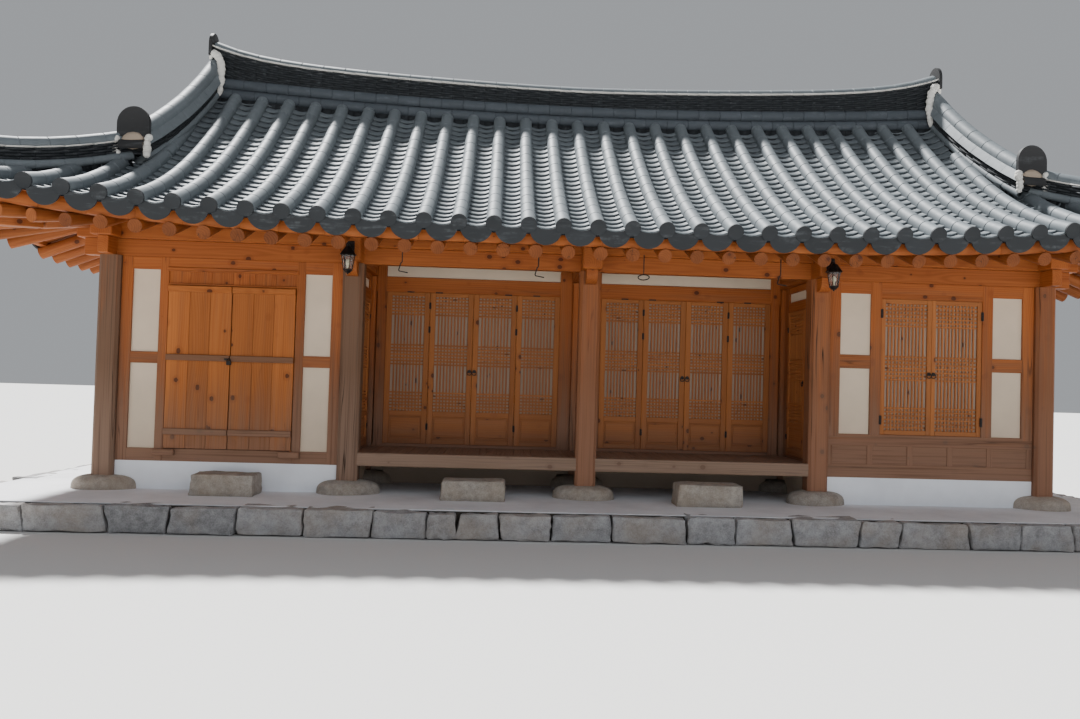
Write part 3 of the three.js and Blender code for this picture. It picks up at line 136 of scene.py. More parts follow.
class TimberSizes(bpy.types.PropertyGroup):
    column: number("Column width", 0.21, "Width of a square column")
    chamfer: number("Chamfer", 0.028, "Width of the cut corners of a column")
    rafter: number("Rafter radius", 0.064, "Radius of a rafter")
    rail: number("Rail thickness", 0.084, "Thickness of the rails in a wall")
    post: number("Post thickness", 0.09, "Thickness of the posts in a wall")
    ease: number("Eased edge", 0.004, "Width of the eased edges of a timber")


class LatticeSizes(bpy.types.PropertyGroup):
    stile: number("Door stile", 0.062, "Width of the frame of a lattice door")
    window_stile: number("Window stile", 0.046, "Width of the frame of a lattice window")
    thickness: number("Leaf thickness", 0.036, "Thickness of a lattice leaf")
    bar: number("Bar", 0.017, "Width of a lattice bar")


class StoneSizes(bpy.types.PropertyGroup):
    proud: number("Kerb reach", 0.045, "How far the kerb stones stand out from the frame's platform")
    depth: number("Kerb depth", 0.3, "How deep the kerb stones reach into the platform")


class HouseColours(bpy.types.PropertyGroup):
    pine_light: colour("Pine, early wood", "#a55e2a", "Pale part of the grain")
    pine_dark: colour("Pine, late wood", "#80401a", "Dark part of the grain")
    # The weathered grey made paler near the ground: painted bounce light from the ground over the real
    # weathering.
    weathered: colour("Weathered pine", "#6a4f3c", "Grey wood near the ground")
    weathered_bounce_lit: colour("Weathered pine, painted bounce light", "#8a6f5d", "Paler grey wood close to the ground")
    knot: colour("Knots", "#48220f", "Dark knots in the pine")
    tile: colour("Roof tile", "#6b7276", "Smoked clay of the tiles")
    # The end tiles' colour is the tile clay darkened as painted shade, as they face away from the light.
    shaded_tile_clay: colour("End tile", "#282b2e", "Darker clay of the end tiles")
    bloom: colour("Lime bloom", "#aab0b4", "Pale bloom on the tiles")
    plaster: colour("Lime plaster", "#d2bfa8", "Wall plaster")
    mortar: colour("Mortar", "#d9d6cf", "Mortar at the ridge ends")
    paper: colour("Door paper", "#a39180", "Paper behind the lattice")
    granite: colour("Granite", "#9c9b9b", "Kerb stones and base stones")
    earth: colour("Packed earth", "#edeef0", "Top of the platform")
    iron: colour("Iron", "#1b1a1a", "Hinges, rings and lanterns")


def group(name):
    """One group of the scene's sizes or colours."""
    return getattr(bpy.context.scene, f"hanok_{name}")


# Modelling


def deselect():
    """Nothing is selected, and no mesh is being edited."""
    if bpy.context.object and bpy.context.object.mode != "OBJECT":
        bpy.ops.object.mode_set(mode="OBJECT")
    bpy.ops.object.select_all(action="DESELECT")


def pick(*objs):
    """Selects these objects only; the first one is active."""
    deselect()
    for obj in objs:
        obj.select_set(True)
    bpy.context.view_layer.objects.active = objs[0]


def edit(obj, mode="EDGE"):
    """Starts editing an object with all of it selected."""
    pick(obj)
    bpy.ops.object.mode_set(mode="EDIT")
    bpy.ops.mesh.select_mode(type=mode)
    bpy.ops.mesh.select_all(action="SELECT")


def applied(obj):
    """Puts the object's place into its mesh."""
    pick(obj)
    bpy.ops.object.transform_apply(location=True, rotation=True, scale=True)
    return obj


def done(obj, name, smooth=None):
    """Ends the editing and gives the piece its name."""
    applied(obj)
    if smooth is not None:
        bpy.ops.object.shade_smooth_by_angle(angle=math.radians(smooth))
    obj.name = name
    obj.data.name = name
    return obj


def added(primitive, location=(0, 0, 0), **values):
    """A basic shape at its place."""
    deselect()
    primitive(location=location, **values)
    return applied(bpy.context.object)


def cylinder(vertices, radius, depth, location, rotation=(0, 0, 0)):
    """A round bar or disc, upright or turned."""
    return added(
        bpy.ops.mesh.primitive_cylinder_add, location, vertices=vertices, radius=radius, depth=depth,
        rotation=rotation,
    )


def torus(segments, radius, thickness, location):
    """A ring that stands upright across Y."""
    return added(
        bpy.ops.mesh.primitive_torus_add, location, major_segments=segments, minor_segments=6,
        major_radius=radius, minor_radius=thickness, rotation=LYING,
    )


def select_by(obj, kind, test):
    """Selects the vertices, edges or faces of an edited object that pass a test."""
    bpy.ops.mesh.select_all(action="DESELECT")
    bpy.ops.object.mode_set(mode="OBJECT")
    for item in getattr(obj.data, kind):
        item.select = bool(test(item))
    bpy.ops.object.mode_set(mode="EDIT")


def cut_edges(obj, test, offset, segments=1):
    """Cuts or rounds the edges of a block whose two end points pass a test."""
    edit(obj)
    select_by(obj, "edges", lambda e: test(*[obj.data.vertices[i].co for i in e.vertices]))
    bpy.ops.mesh.bevel(offset=offset, segments=segments, affect="EDGES")
    bpy.ops.object.mode_set(mode="OBJECT")
    return obj


def inset_front(obj, thickness, depth):
    """Sinks the face that looks to the front inside a rim."""
    edit(obj, "FACE")
    select_by(obj, "polygons", lambda f: f.normal.y < -0.9)
    bpy.ops.mesh.inset(thickness=thickness, depth=depth)


def face_outwards():
    """Turns all faces of the edited shape the same way."""
    bpy.ops.mesh.select_all(action="SELECT")
    bpy.ops.mesh.normals_make_consistent(inside=False)


def block(low, high, ease=None):
    """A board or beam: a cube at its size and place, with eased edges."""
    ease = group("timber").ease if ease is None else ease
    low, high = Vector(low), Vector(high)
    size = high - low
    obj = added(bpy.ops.mesh.primitive_cube_add, (low + high) / 2, size=1, scale=size)
    if ease:
        edit(obj)
        bpy.ops.mesh.bevel(offset=min(ease, min(size) * 0.3), segments=1, affect="EDGES")
        bpy.ops.object.mode_set(mode="OBJECT")
    return obj


def points_of(mesh):
    """The points of a mesh as rows of X, Y and Z."""
    points = np.empty(len(mesh.vertices) * 3)
    mesh.vertices.foreach_get("co", points)
    return points.reshape(-1, 3)


def mark_grain(obj, along=None):
    """Writes which way the wood grows, and a tone of its own, on a piece of timber."""
    points = points_of(obj.data)
    low, high = points.min(0), points.max(0)
    axis = int(np.argmax(high - low)) if along is None else along
    order = [axis, (axis + 1) % 3, (axis + 2) % 3]
    local = points[:, order] - (high + low)[order] / 2
    local += np.array([RANDOM.uniform(-40, 40), RANDOM.uniform(-0.06, 0.06), RANDOM.uniform(0.02, 0.09)])
    write_marks(obj.data, local, RANDOM.uniform(0, 1))
    return obj


def write_marks(mesh, grain, tone):
    """Stores grain and tone on the points of a mesh."""
    for name, kind in (("grain", "FLOAT_VECTOR"), ("tone", "FLOAT")):
        if name not in mesh.attributes:
            mesh.attributes.new(name, kind, "POINT")
    mesh.attributes["grain"].data.foreach_set("vector", np.ascontiguousarray(grain, dtype=np.float32).ravel())
    tones = np.broadcast_to(np.asarray(tone, dtype=np.float32), (len(mesh.vertices),))
    mesh.attributes["tone"].data.foreach_set("value", np.ascontiguousarray(tones))


def timber(low, high, ease=None, along=None):
    """A sawn timber with its grain along its length."""
    return mark_grain(block(low, high, ease), along)


def slab(turned, plane, thickness, s0, s1, z0, z1, ease=None):
    """A board in a wall that runs along X, or turned along Y."""
    t0, t1 = plane - thickness / 2, plane + thickness / 2
    if turned:
        return block((t0, s0, z0), (t1, s1, z1), ease)
    return block((s0, t0, z0), (s1, t1, z1), ease)


def member(turned, plane, thickness, s0, s1, z0, z1, ease=None):
    """A post or beam in a wall that runs along X, or turned along Y, with its grain along its length."""
    board = slab(turned, plane, thickness, s0, s1, z0, z1, ease)
    return mark_grain(board, 2 if z1 - z0 > s1 - s0 else int(turned))


def join(name, parts, smooth=None):
    """One piece out of several modelled parts."""
    pick(*parts)
    if len(parts) > 1:
        bpy.ops.object.join()
    return done(parts[0], name, smooth)


def remove(*objs):
    """Deletes patterns that were only copied."""
    for obj in objs:
        bpy.data.objects.remove(obj, do_unlink=True)


def moved(obj, matrix, name=None):
    """A copy of a leaf with its own mesh, put elsewhere, with its own stretch of grain."""
    new = obj.copy()
    new.data = obj.data.copy()
    new.data.transform(matrix)
    bpy.context.collection.objects.link(new)
    grain = np.empty(len(new.data.vertices) * 3, dtype=np.float32)
    new.data.attributes["grain"].data.foreach_get("vector", grain)
    grain = grain.reshape(-1, 3) + np.array([RANDOM.uniform(-9, 9), 0, 0], dtype=np.float32)
    new.data.attributes["grain"].data.foreach_set("vector", grain.ravel())
    if name:
        new.name = name
        new.data.name = name
    return new


def copies(pattern, places, name, smooth=None, tone_spread=1.0):
    """Many copies of one modelled pattern at given places, each with its own faces and tone."""
    mesh = pattern.data
    points = points_of(mesh)
    count, corners, faces = len(mesh.vertices), len(mesh.loops), len(mesh.polygons)
    corner_points = np.empty(corners, dtype=np.int32)
    mesh.loops.foreach_get("vertex_index", corner_points)
    starts = np.empty(faces, dtype=np.int32)
    mesh.polygons.foreach_get("loop_start", starts)
    stack = np.stack([np.array(place) for place in places])
    total = len(stack)
    placed = np.einsum("kij,nj->kni", stack[:, :3, :3], points) + stack[:, None, :3, 3]
    steps = np.arange(total)[:, None]
    new = bpy.data.meshes.new(name)
    new.vertices.add(total * count)
    new.vertices.foreach_set("co", placed.ravel())
    new.loops.add(total * corners)
    new.loops.foreach_set("vertex_index", (corner_points[None] + steps * count).astype(np.int32).ravel())
    new.polygons.add(total * faces)
    new.polygons.foreach_set("loop_start", (starts[None] + steps * corners).astype(np.int32).ravel())
    new.update(calc_edges=True)
    new.validate()
    shifts = np.stack([
        RANDOM.uniform(-40, 40, total), RANDOM.uniform(-0.05, 0.05, total), RANDOM.uniform(0.01, 0.06, total),
    ], axis=1)
    order = [int(np.argmax(points.max(0) - points.min(0)))]
    order += [i for i in range(3) if i != order[0]]
    scales = np.linalg.norm(stack[:, :3, :3], axis=1)[:, order]
    grain = points[:, order][None] * scales[:, None] + shifts[:, None]
    tones = np.repeat(0.5 + (RANDOM.uniform(0, 1, total) - 0.5) * tone_spread, count)
    write_marks(new, grain.reshape(-1, 3), tones)
    obj = bpy.data.objects.new(name, new)
    bpy.context.collection.objects.link(obj)
    return done(obj, name, smooth)


def finish_piece(obj, materials, body=HOUSE, replaced=()):
    """Gives a piece its finishes, unless it has them, and the body that it moves with."""
    if materials:
        obj.data.materials.clear()
        for name in materials.split():
            obj.data.materials.append(MATERIALS[name])
    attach(obj, body)
    if replaced:
        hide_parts(*replaced)


def dress(node, finish):
    """Gives a shape of the frame its finish."""
    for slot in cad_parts[node].material_slots:
        slot.material = MATERIALS[finish]


def axes_place(side, forward, high, origin):
    """A place from its three axes and its origin."""
    return Matrix(((*side, 0), (*forward, 0), (*high, 0), (*origin, 1))).transposed()


def at(x, y, z):
    """A place moved by x, y and z."""
    return Matrix.Translation((x, y, z))


def sized(x, y, z):
    """A place stretched by x, y and z."""
    return Matrix.Diagonal((x, y, z, 1))


def turned_by(angle, axis="Z"):
    """A place turned about an axis."""
    return Matrix.Rotation(angle, 4, axis)


def along_path(points, up=Vector((0, 0, 1))):
    """Places for a pattern of unit length along each step of a path: Y runs along, Z stays up."""
    places = []
    for a, b in zip(points, points[1:]):
        run = b - a
        forward = run.normalized()
        side = forward.cross(up).normalized()
        places.append(axes_place(side, run, side.cross(forward), a))
    return places


def fine_line(points, step):
    """Points at an even step along a bent line."""
    lengths = [0.0]
    for a, b in zip(points, points[1:]):
        lengths.append(lengths[-1] + (b - a).length)
    count = max(1, round(lengths[-1] / step))
    line = []
    for i in range(count + 1):
        at = lengths[-1] * i / count
        k = max(j for j in range(len(points) - 1) if lengths[j] <= at + 1e-9)
        share = (at - lengths[k]) / (lengths[k + 1] - lengths[k])
        line.append(points[k].lerp(points[k + 1], share))
    return line


# Roof surface


def corner_pull(x, y):
    """How much of the lift and flare of a roof corner a plan point gets."""
    return (abs(x) / CORNER_X) ** 3 * (abs(y) / CORNER_Y) ** 3


def front_distance(x, y):
    """How far in from the front or back eave a plan point is."""
    return EAVE_Y - abs(y) + CORNER_FLARE * corner_pull(x, y)


def side_distance(x, y):
    """How far in from an end eave a plan point is."""
    return EAVE_X - abs(x) + CORNER_FLARE * corner_pull(x, y)


def tile_height(x, y, distance):
    """Height of the frame's roof at a plan point, a distance in from the eave."""
    u = distance / EAVE_Y
    slope = ROOF_RISE * (u + ROOF_CURVE * u * (u - 1)) + GABLE_LIFT * (x / GABLE_X) ** 2 * u * u
    return EAVE_HEIGHT + slope + CORNER_LIFT * corner_pull(x, y)


def deck_height(x, y, distance):
    """Height of the boards on the rafters."""
    return DECK_HEIGHT + DECK_SLOPE * (distance - RAFTER_SETBACK) + CORNER_LIFT * corner_pull(x, y)


def front_point(x, distance, height=tile_height, rise=0.0):
    """A point of the front slope at a distance in from the eave."""
    y = EAVE_Y - distance
    for _ in range(10):
        y = EAVE_Y - distance + CORNER_FLARE * corner_pull(x, y)
    return Vector((x, -y, height(x, y, distance) + rise))


def side_point(y, distance, height=tile_height, rise=0.0):
    """A point of the right-hand end slope at a distance in from the eave."""
    x = EAVE_X - distance
    for _ in range(10):
        x = EAVE_X - distance + CORNER_FLARE * corner_pull(x, y)
    return Vector((x, y, height(x, y, distance) + rise))


def front_end(x):
    """How far in from the front eave a row at x runs: to the main ridge, the gable ridge or the hip."""
    if abs(x) < 4.33:
        return EAVE_Y - 0.14
    if abs(x) < 4.5:
        return EAVE_Y - 0.75
    return front_distance(x, abs(x) - HIP_SHIFT)


def side_end(y):
    """How far in from the end eave a row at y runs."""
    return side_distance(max(4.37, HIP_SHIFT + abs(y)), y)


def row_places(point, end, length, across, start):
    """Places for tiles of a given length from the eave up to the end of a row."""
    places = []
    distance = start
    while distance < end - 0.01:
        a = point(distance)
        slope = (point(distance + 0.01) - a).length / 0.01
        following = distance + length / slope
        forward = (point(following) - a).normalized()
        normal = across.cross(forward).normalized()
        share = min(1.0, (end - distance) / (following - distance))
        reach = forward * (length * max(share, 0.15))
        places.append(axes_place(forward.cross(normal), reach, normal, a))
        distance = following
    return places


def all_rows(length, half_step, start=0.0):
    """Places on all four slopes, and those nearest to the eave, for rows on or between the pitch lines."""
    tiles = group("tiles")
    places, ends = [], []
    for count, shift, limit, point, row_end, across in (
        (19, tiles.shift, 5.88, front_point, front_end, Vector((1, 0, 0))),
        (10, 0.0, 2.88, side_point, side_end, Vector((0, 1, 0))),
    ):
        for i in range(-count, count):
            at = shift + (i + half_step) * tiles.pitch
            if abs(at) > limit:
                continue
            row = row_places(lambda d: point(at, d, rise=tiles.level), row_end(at), length, across, start)
            for turn in (Matrix.Identity(4), HALF_TURN) if row else ():
                ends.append(turn @ row[0])
                places += [turn @ place for place in row]
    return places, ends


# Materials


def add_node(tree, kind, values=None):
    """Adds a node to a material, with its settings, its values and what feeds it."""
    node = tree.nodes.new(kind)
    for key, value in (values or {}).items():
        if isinstance(value, bpy.types.NodeSocket):
            tree.links.new(value, node.inputs[key])
        elif isinstance(key, str) and hasattr(node, key):
            setattr(node, key, value)
        else:
            node.inputs[key].default_value = value
    return node


def start_material(name, base, roughness, **sockets):
    """A material with a principled surface; returns it with its nodes."""
    material = bpy.data.materials.new(name)
    material.use_nodes = True
    surface = material.node_tree.nodes["Principled BSDF"]
    surface.inputs["Base Color"].default_value = base
    surface.inputs["Roughness"].default_value = roughness
    for key, value in sockets.items():
        surface.inputs[key.replace("_", " ")].default_value = value
    return material, material.node_tree


def drive(tree, socket, source):
    """Lets a node set one value of the surface."""
    tree.links.new(source, tree.nodes["Principled BSDF"].inputs[socket])


def cover(tree, shade, height, distance, strength):
    """Colours the surface, and raises it by a height pattern, a distance in metres at most."""
    drive(tree, "Base Color", shade)
    bump = add_node(tree, "ShaderNodeBump", {"Strength": strength, "Distance": distance, "Height": height})
    drive(tree, "Normal", bump.outputs[0])


def ramp(tree, source, low, high):
    """Turns a value between low and high into 0 to 1."""
    return add_node(tree, "ShaderNodeMapRange", {0: source, 1: low, 2: high}).outputs[0]


def spread(tree, source, low, high):
    """Turns a value between 0 and 1 into low to high."""
    return add_node(tree, "ShaderNodeMapRange", {0: source, 3: low, 4: high}).outputs[0]


def mixed(tree, factor, a, b, blend="MIX"):
    """Mixes two colours; a and b are colours or sockets."""
    return add_node(tree, "ShaderNodeMix", {
        "data_type": "RGBA", "blend_type": blend, 0: factor, 6: a, 7: b,
    }).outputs[2]


def maths(tree, operation, a, b=0.0):
    """One sum on two values or sockets."""
    return add_node(tree, "ShaderNodeMath", {"operation": operation, 0: a, 1: b}).outputs[0]


def times(tree, a, b):
    """One value or socket times another."""
    return maths(tree, "MULTIPLY", a, b)


def summed(tree, *terms):
    """The sum of sockets, each with its weight."""
    parts = [source if weight == 1 else times(tree, source, weight) for source, weight in terms]
    total = parts[0]
    for part in parts[1:]:
        total = maths(tree, "ADD", total, part)
    return total


def noise(tree, vector, scale, detail=3.0, roughness=0.55, distortion=0.0):
    """A noise value on a vector."""
    return add_node(tree, "ShaderNodeTexNoise", {
        "Scale": scale, "Detail": detail, "Roughness": roughness, "Distortion": distortion, "Vector": vector,
    }).outputs["Fac"]


def scaled(tree, vector, along, across):
    """A vector stretched along its first axis and across it."""
    scale = (along, across, across)
    return add_node(tree, "ShaderNodeMapping", {"Scale": scale, "Vector": vector}).outputs[0]


def streaks(tree, vector, along, across, detail=3.0, roughness=0.6, distortion=0.0):
    """A noise value drawn out along the first axis of a vector."""
    return noise(tree, scaled(tree, vector, along, across), 1.0, detail, roughness, distortion)


def pushed(tree, vector, source, amount):
    """A vector moved along its second axis by a value."""
    move = add_node(tree, "ShaderNodeCombineXYZ", {1: times(tree, source, amount)}).outputs[0]
    return add_node(tree, "ShaderNodeVectorMath", {"operation": "ADD", 0: vector, 1: move}).outputs[0]


def read_mark(tree, name):
    """The grain or the tone that a mesh carries."""
    output = "Vector" if name == "grain" else "Fac"
    return add_node(tree, "ShaderNodeAttribute", {"attribute_name": name}).outputs[output]


def object_place(tree):
    """The place on the object, in metres."""
    return add_node(tree, "ShaderNodeTexCoord").outputs["Object"]


def coordinate(tree, place, axis):
    """One coordinate of a place."""
    return add_node(tree, "ShaderNodeSeparateXYZ", {0: place}).outputs[axis]


def tinted(base, factor):
    """A colour made darker or lighter."""
    return tuple(min(1, c * factor) for c in base[:3]) + (1,)


def pine_material(name, light, dark, weathering=0.0, cracks=0.0, high=2.3):
    """Korean red pine, sawn and oiled: orange early wood, darker late wood, round knots, and grey
    weathered wood near the ground, turned paler close to the ground as painted bounce light. Rings are
    5 to 8 mm apart on a sawn face, drawn at 14 mm to show."""
    colours = group("colours")
    material, tree = start_material(name, light, 0.62, Specular_IOR_Level=0.22)
    grain = read_mark(tree, "grain")
    fine = streaks(tree, grain, 2.5, 110)
    wide = streaks(tree, grain, 0.45, 7, 3.0, 0.55, 0.6)
    bent = streaks(tree, grain, 0.8, 3, 1.0, 0.55)
    rings = add_node(tree, "ShaderNodeTexWave", {
        "wave_type": "RINGS", "rings_direction": "X", "Scale": 15.0, "Distortion": 2.0, "Detail": 3.0,
        "Detail Scale": 1.6, "Vector": pushed(tree, scaled(tree, grain, 0.05, 1), bent, 0.16),
    }).outputs["Fac"]
    pattern = summed(tree, (fine, 0.35), (rings, 0.17), (wide, 0.6))
    base = mixed(tree, ramp(tree, pattern, 0.3, 0.85), light, dark)
    spots = add_node(tree, "ShaderNodeTexVoronoi", {
        "Scale": 1.0, "Randomness": 1.0, "Vector": pushed(tree, scaled(tree, grain, 7.0, 8.5), fine, 0.25),
    })
    chosen = add_node(tree, "ShaderNodeSeparateColor", {0: spots.outputs["Color"]}).outputs[0]
    size = times(tree, ramp(tree, chosen, 0.42, 0.9), 0.21)
    away = spots.outputs["Distance"]
    knots = ramp(tree, maths(tree, "SUBTRACT", size, away), 0.0, 0.025)
    halo = ramp(tree, maths(tree, "SUBTRACT", times(tree, size, 2.2), away), 0.0, 0.16)
    base = mixed(tree, times(tree, halo, 0.55), base, dark)
    base = mixed(tree, times(tree, knots, 0.9), base, colours.knot)
    base = mixed(tree, 1.0, base, spread(tree, read_mark(tree, "tone"), 0.86, 1.1), "MULTIPLY")
    height = pattern
    if weathering:
        z = coordinate(tree, object_place(tree), 2)
        reach = summed(tree, (ramp(tree, z, high, 0.4), 1), (streaks(tree, grain, 0.9, 22), 1.1))
        grey = times(tree, ramp(tree, reach, 0.55, 1.25), weathering)
        # Grey weathering that turns paler below 1.5 m towards the ground; the paleness is painted bounce
        # light.
        worn = mixed(tree, ramp(tree, z, 1.5, 0.5), colours.weathered, colours.weathered_bounce_lit)
        checks = ramp(tree, streaks(tree, grain, 0.7, 52, 2.0), 0.52, 0.7)
        worn = mixed(tree, times(tree, checks, 0.5), worn, linear("#3d2b20"))
        base = mixed(tree, grey, base, worn)
    if cracks:
        near = maths(tree, "ABSOLUTE", maths(tree, "SUBTRACT", streaks(tree, grain, 0.35, 14, 1.5, 0.5), 0.5))
        crack = times(tree, ramp(tree, near, 0.012, 0.002), ramp(tree, bent, 0.46, 0.56))
        crack = times(tree, crack, cracks)
        base = mixed(tree, crack, base, linear("#2c1c12"))
        height = maths(tree, "SUBTRACT", pattern, times(tree, crack, 3.0))
    drive(tree, "Roughness", spread(tree, pattern, 0.52, 0.74))
    cover(tree, base, height, 0.0016, 0.5)
    return material


def tile_material(name, base, roughness=0.55):
    """Smoked clay roof tile, pressed and fired in a reducing kiln: blue-grey with a silvery carbon
    skin, each tile a little different, with pale bloom in streaks and dark specks."""
    material, tree = start_material(name, base, roughness, Specular_IOR_Level=0.3)
    place = object_place(tree)
    patches = noise(tree, place, 1.1, 3.0, 0.6)
    mottle = noise(tree, place, 16.0, 4.0, 0.65)
    specks = noise(tree, place, 120.0, 2.0, 0.6)
    wash = streaks(tree, read_mark(tree, "grain"), 3.0, 22)
    level = summed(tree, (read_mark(tree, "tone"), 0.3), (mottle, 0.4), (patches, 0.4))
    dark = tinted(base, 0.78)
    shade = mixed(tree, ramp(tree, level, 0.35, 0.85), dark, tinted(base, 1.2))
    bloom = times(tree, ramp(tree, wash, 0.52, 0.75), ramp(tree, mottle, 0.4, 0.7))
    shade = mixed(tree, times(tree, bloom, 0.18), shade, group("colours").bloom)
    shade = mixed(tree, times(tree, ramp(tree, specks, 0.62, 0.72), 0.25), shade, dark)
    drive(tree, "Roughness", spread(tree, mottle, roughness - 0.08, roughness + 0.16))
    cover(tree, shade, summed(tree, (mottle, 1), (specks, 0.25)), 0.0014, 0.3)
    return material


def plaster_material(name, base, dirt=0.25):
    """Lime plaster, floated by hand: off-white and matt, with faint trowel waves and splashes of
    earth low on the wall."""
    material, tree = start_material(name, base, 0.9)
    place = object_place(tree)
    waves = noise(tree, place, 3.5, 3.0, 0.5)
    grit = noise(tree, place, 160.0, 2.0, 0.7)
    drops = ramp(tree, noise(tree, place, 14.0, 4.0, 0.7), 0.35, 0.7)
    splash = times(tree, ramp(tree, coordinate(tree, place, 2), 0.42, 0.25), drops)
    shade = mixed(tree, ramp(tree, waves, 0.3, 0.75), base, tinted(base, 0.9))
    shade = mixed(tree, times(tree, splash, dirt * 2), shade, group("colours").earth)
    cover(tree, shade, summed(tree, (waves, 1), (grit, 0.2)), 0.003, 0.35)
    return material


def stone_material(name, base, warm=0.35):
    """Split granite: grey with mica and rust, grains of 3 to 6 mm drawn at 12 mm to show, and a
    rough broken face."""
    material, tree = start_material(name, base, 0.88)
    place = object_place(tree)
    tone = read_mark(tree, "tone")
    broad = noise(tree, place, 2.4, 4.0, 0.6)
    middle = noise(tree, place, 14.0, 5.0, 0.65)
    grains = noise(tree, place, 85.0, 2.0, 0.7)
    level = summed(tree, (middle, 0.6), (grains, 0.4), (tone, 0.16))
    shade = mixed(tree, ramp(tree, level, 0.36, 0.8), tinted(base, 0.45), tinted(base, 1.45))
    rust = times(tree, ramp(tree, summed(tree, (broad, 1), (tone, 0.3)), 0.6, 0.85), warm)
    shade = mixed(tree, rust, shade, linear("#9a8468"))
    cover(tree, shade, summed(tree, (middle, 1), (grains, 0.3)), 0.02, 0.6)
    return material


def earth_material(name, base):
    """Earth and lime packed hard: pale beige, dusty, with grit of 10 to 20 mm; painted shade on its sides,
    which show in the kerb joints.
    """
    material, tree = start_material(name, base, 0.95)
    place = object_place(tree)
    broad = noise(tree, place, 1.6, 5.0, 0.6)
    grit = noise(tree, place, 60.0, 3.0, 0.7)
    dark = tinted(base, 0.8)
    shade = mixed(tree, ramp(tree, broad, 0.35, 0.7), base, dark)
    shade = mixed(tree, times(tree, ramp(tree, grit, 0.55, 0.7), 0.4), shade, dark)
    # Painted shade: below its top the earth turns dark, as the kerb joints lie in shadow.
    shade = mixed(tree, ramp(tree, coordinate(tree, place, 2), 0.246, 0.235), shade, linear("#3b352e"))
    cover(tree, shade, summed(tree, (broad, 1), (grit, 0.5)), 0.012, 0.5)
    return material


def paper_material(name, base):
    """Mulberry paper, laid by hand and pasted behind the bars: warm white with faint fibres."""
    material, tree = start_material(name, base, 0.85)
    place = object_place(tree)
    fibres = noise(tree, place, 90.0, 4.0, 0.7, 1.5)
    clouds = noise(tree, place, 3.0, 2.0)
    shade = mixed(tree, ramp(tree, fibres, 0.4, 0.7), base, tinted(base, 0.86))
    shade = mixed(tree, times(tree, clouds, 0.2), shade, tinted(base, 0.8))
    cover(tree, shade, fibres, 0.0006, 0.4)
    return material


def iron_material(name, base):
    """Wrought iron, hammered and painted black: worn to a dull sheen in patches."""
    material, tree = start_material(name, base, 0.48, Metallic=0.6)
    hammer = noise(tree, object_place(tree), 90.0, 2.0, 0.5)
    drive(tree, "Roughness", spread(tree, hammer, 0.38, 0.62))
    cover(tree, mixed(tree, ramp(tree, hammer, 0.5, 0.75), base, linear("#3a322c")), hammer, 0.0012, 0.5)
    return material


def boards_material():
    """Pine boards nailed over the rafters: 150 mm wide, with dark joints, seen from below."""
    colours = group("colours")
    material, tree = start_material("rafter_boards", colours.pine_light, 0.7)
    place = object_place(tree)
    grain = streaks(tree, place, 2.0, 40, 4.0)
    rows = maths(tree, "FRACT", times(tree, coordinate(tree, place, 1), 6.6))
    joint = ramp(tree, maths(tree, "ABSOLUTE", maths(tree, "SUBTRACT", rows, 0.5)), 0.47, 0.495)
    base = mixed(tree, ramp(tree, grain, 0.3, 0.75), colours.pine_light, colours.pine_dark)
    base = mixed(tree, joint, base, linear("#2f1b0e"))
    cover(tree, base, maths(tree, "SUBTRACT", grain, joint), 0.004, 0.5)
    return material


def glass_material():
    """Clear lantern glass: thin, a little dusty."""
    material, tree = start_material(
        "lantern_glass", linear("#e8ecec"), 0.12, Transmission_Weight=0.9, IOR=1.1,
    )
    dust = noise(tree, object_place(tree), 40.0, 3.0)
    drive(tree, "Roughness", spread(tree, dust, 0.06, 0.3))
    return material


MATERIALS = {}


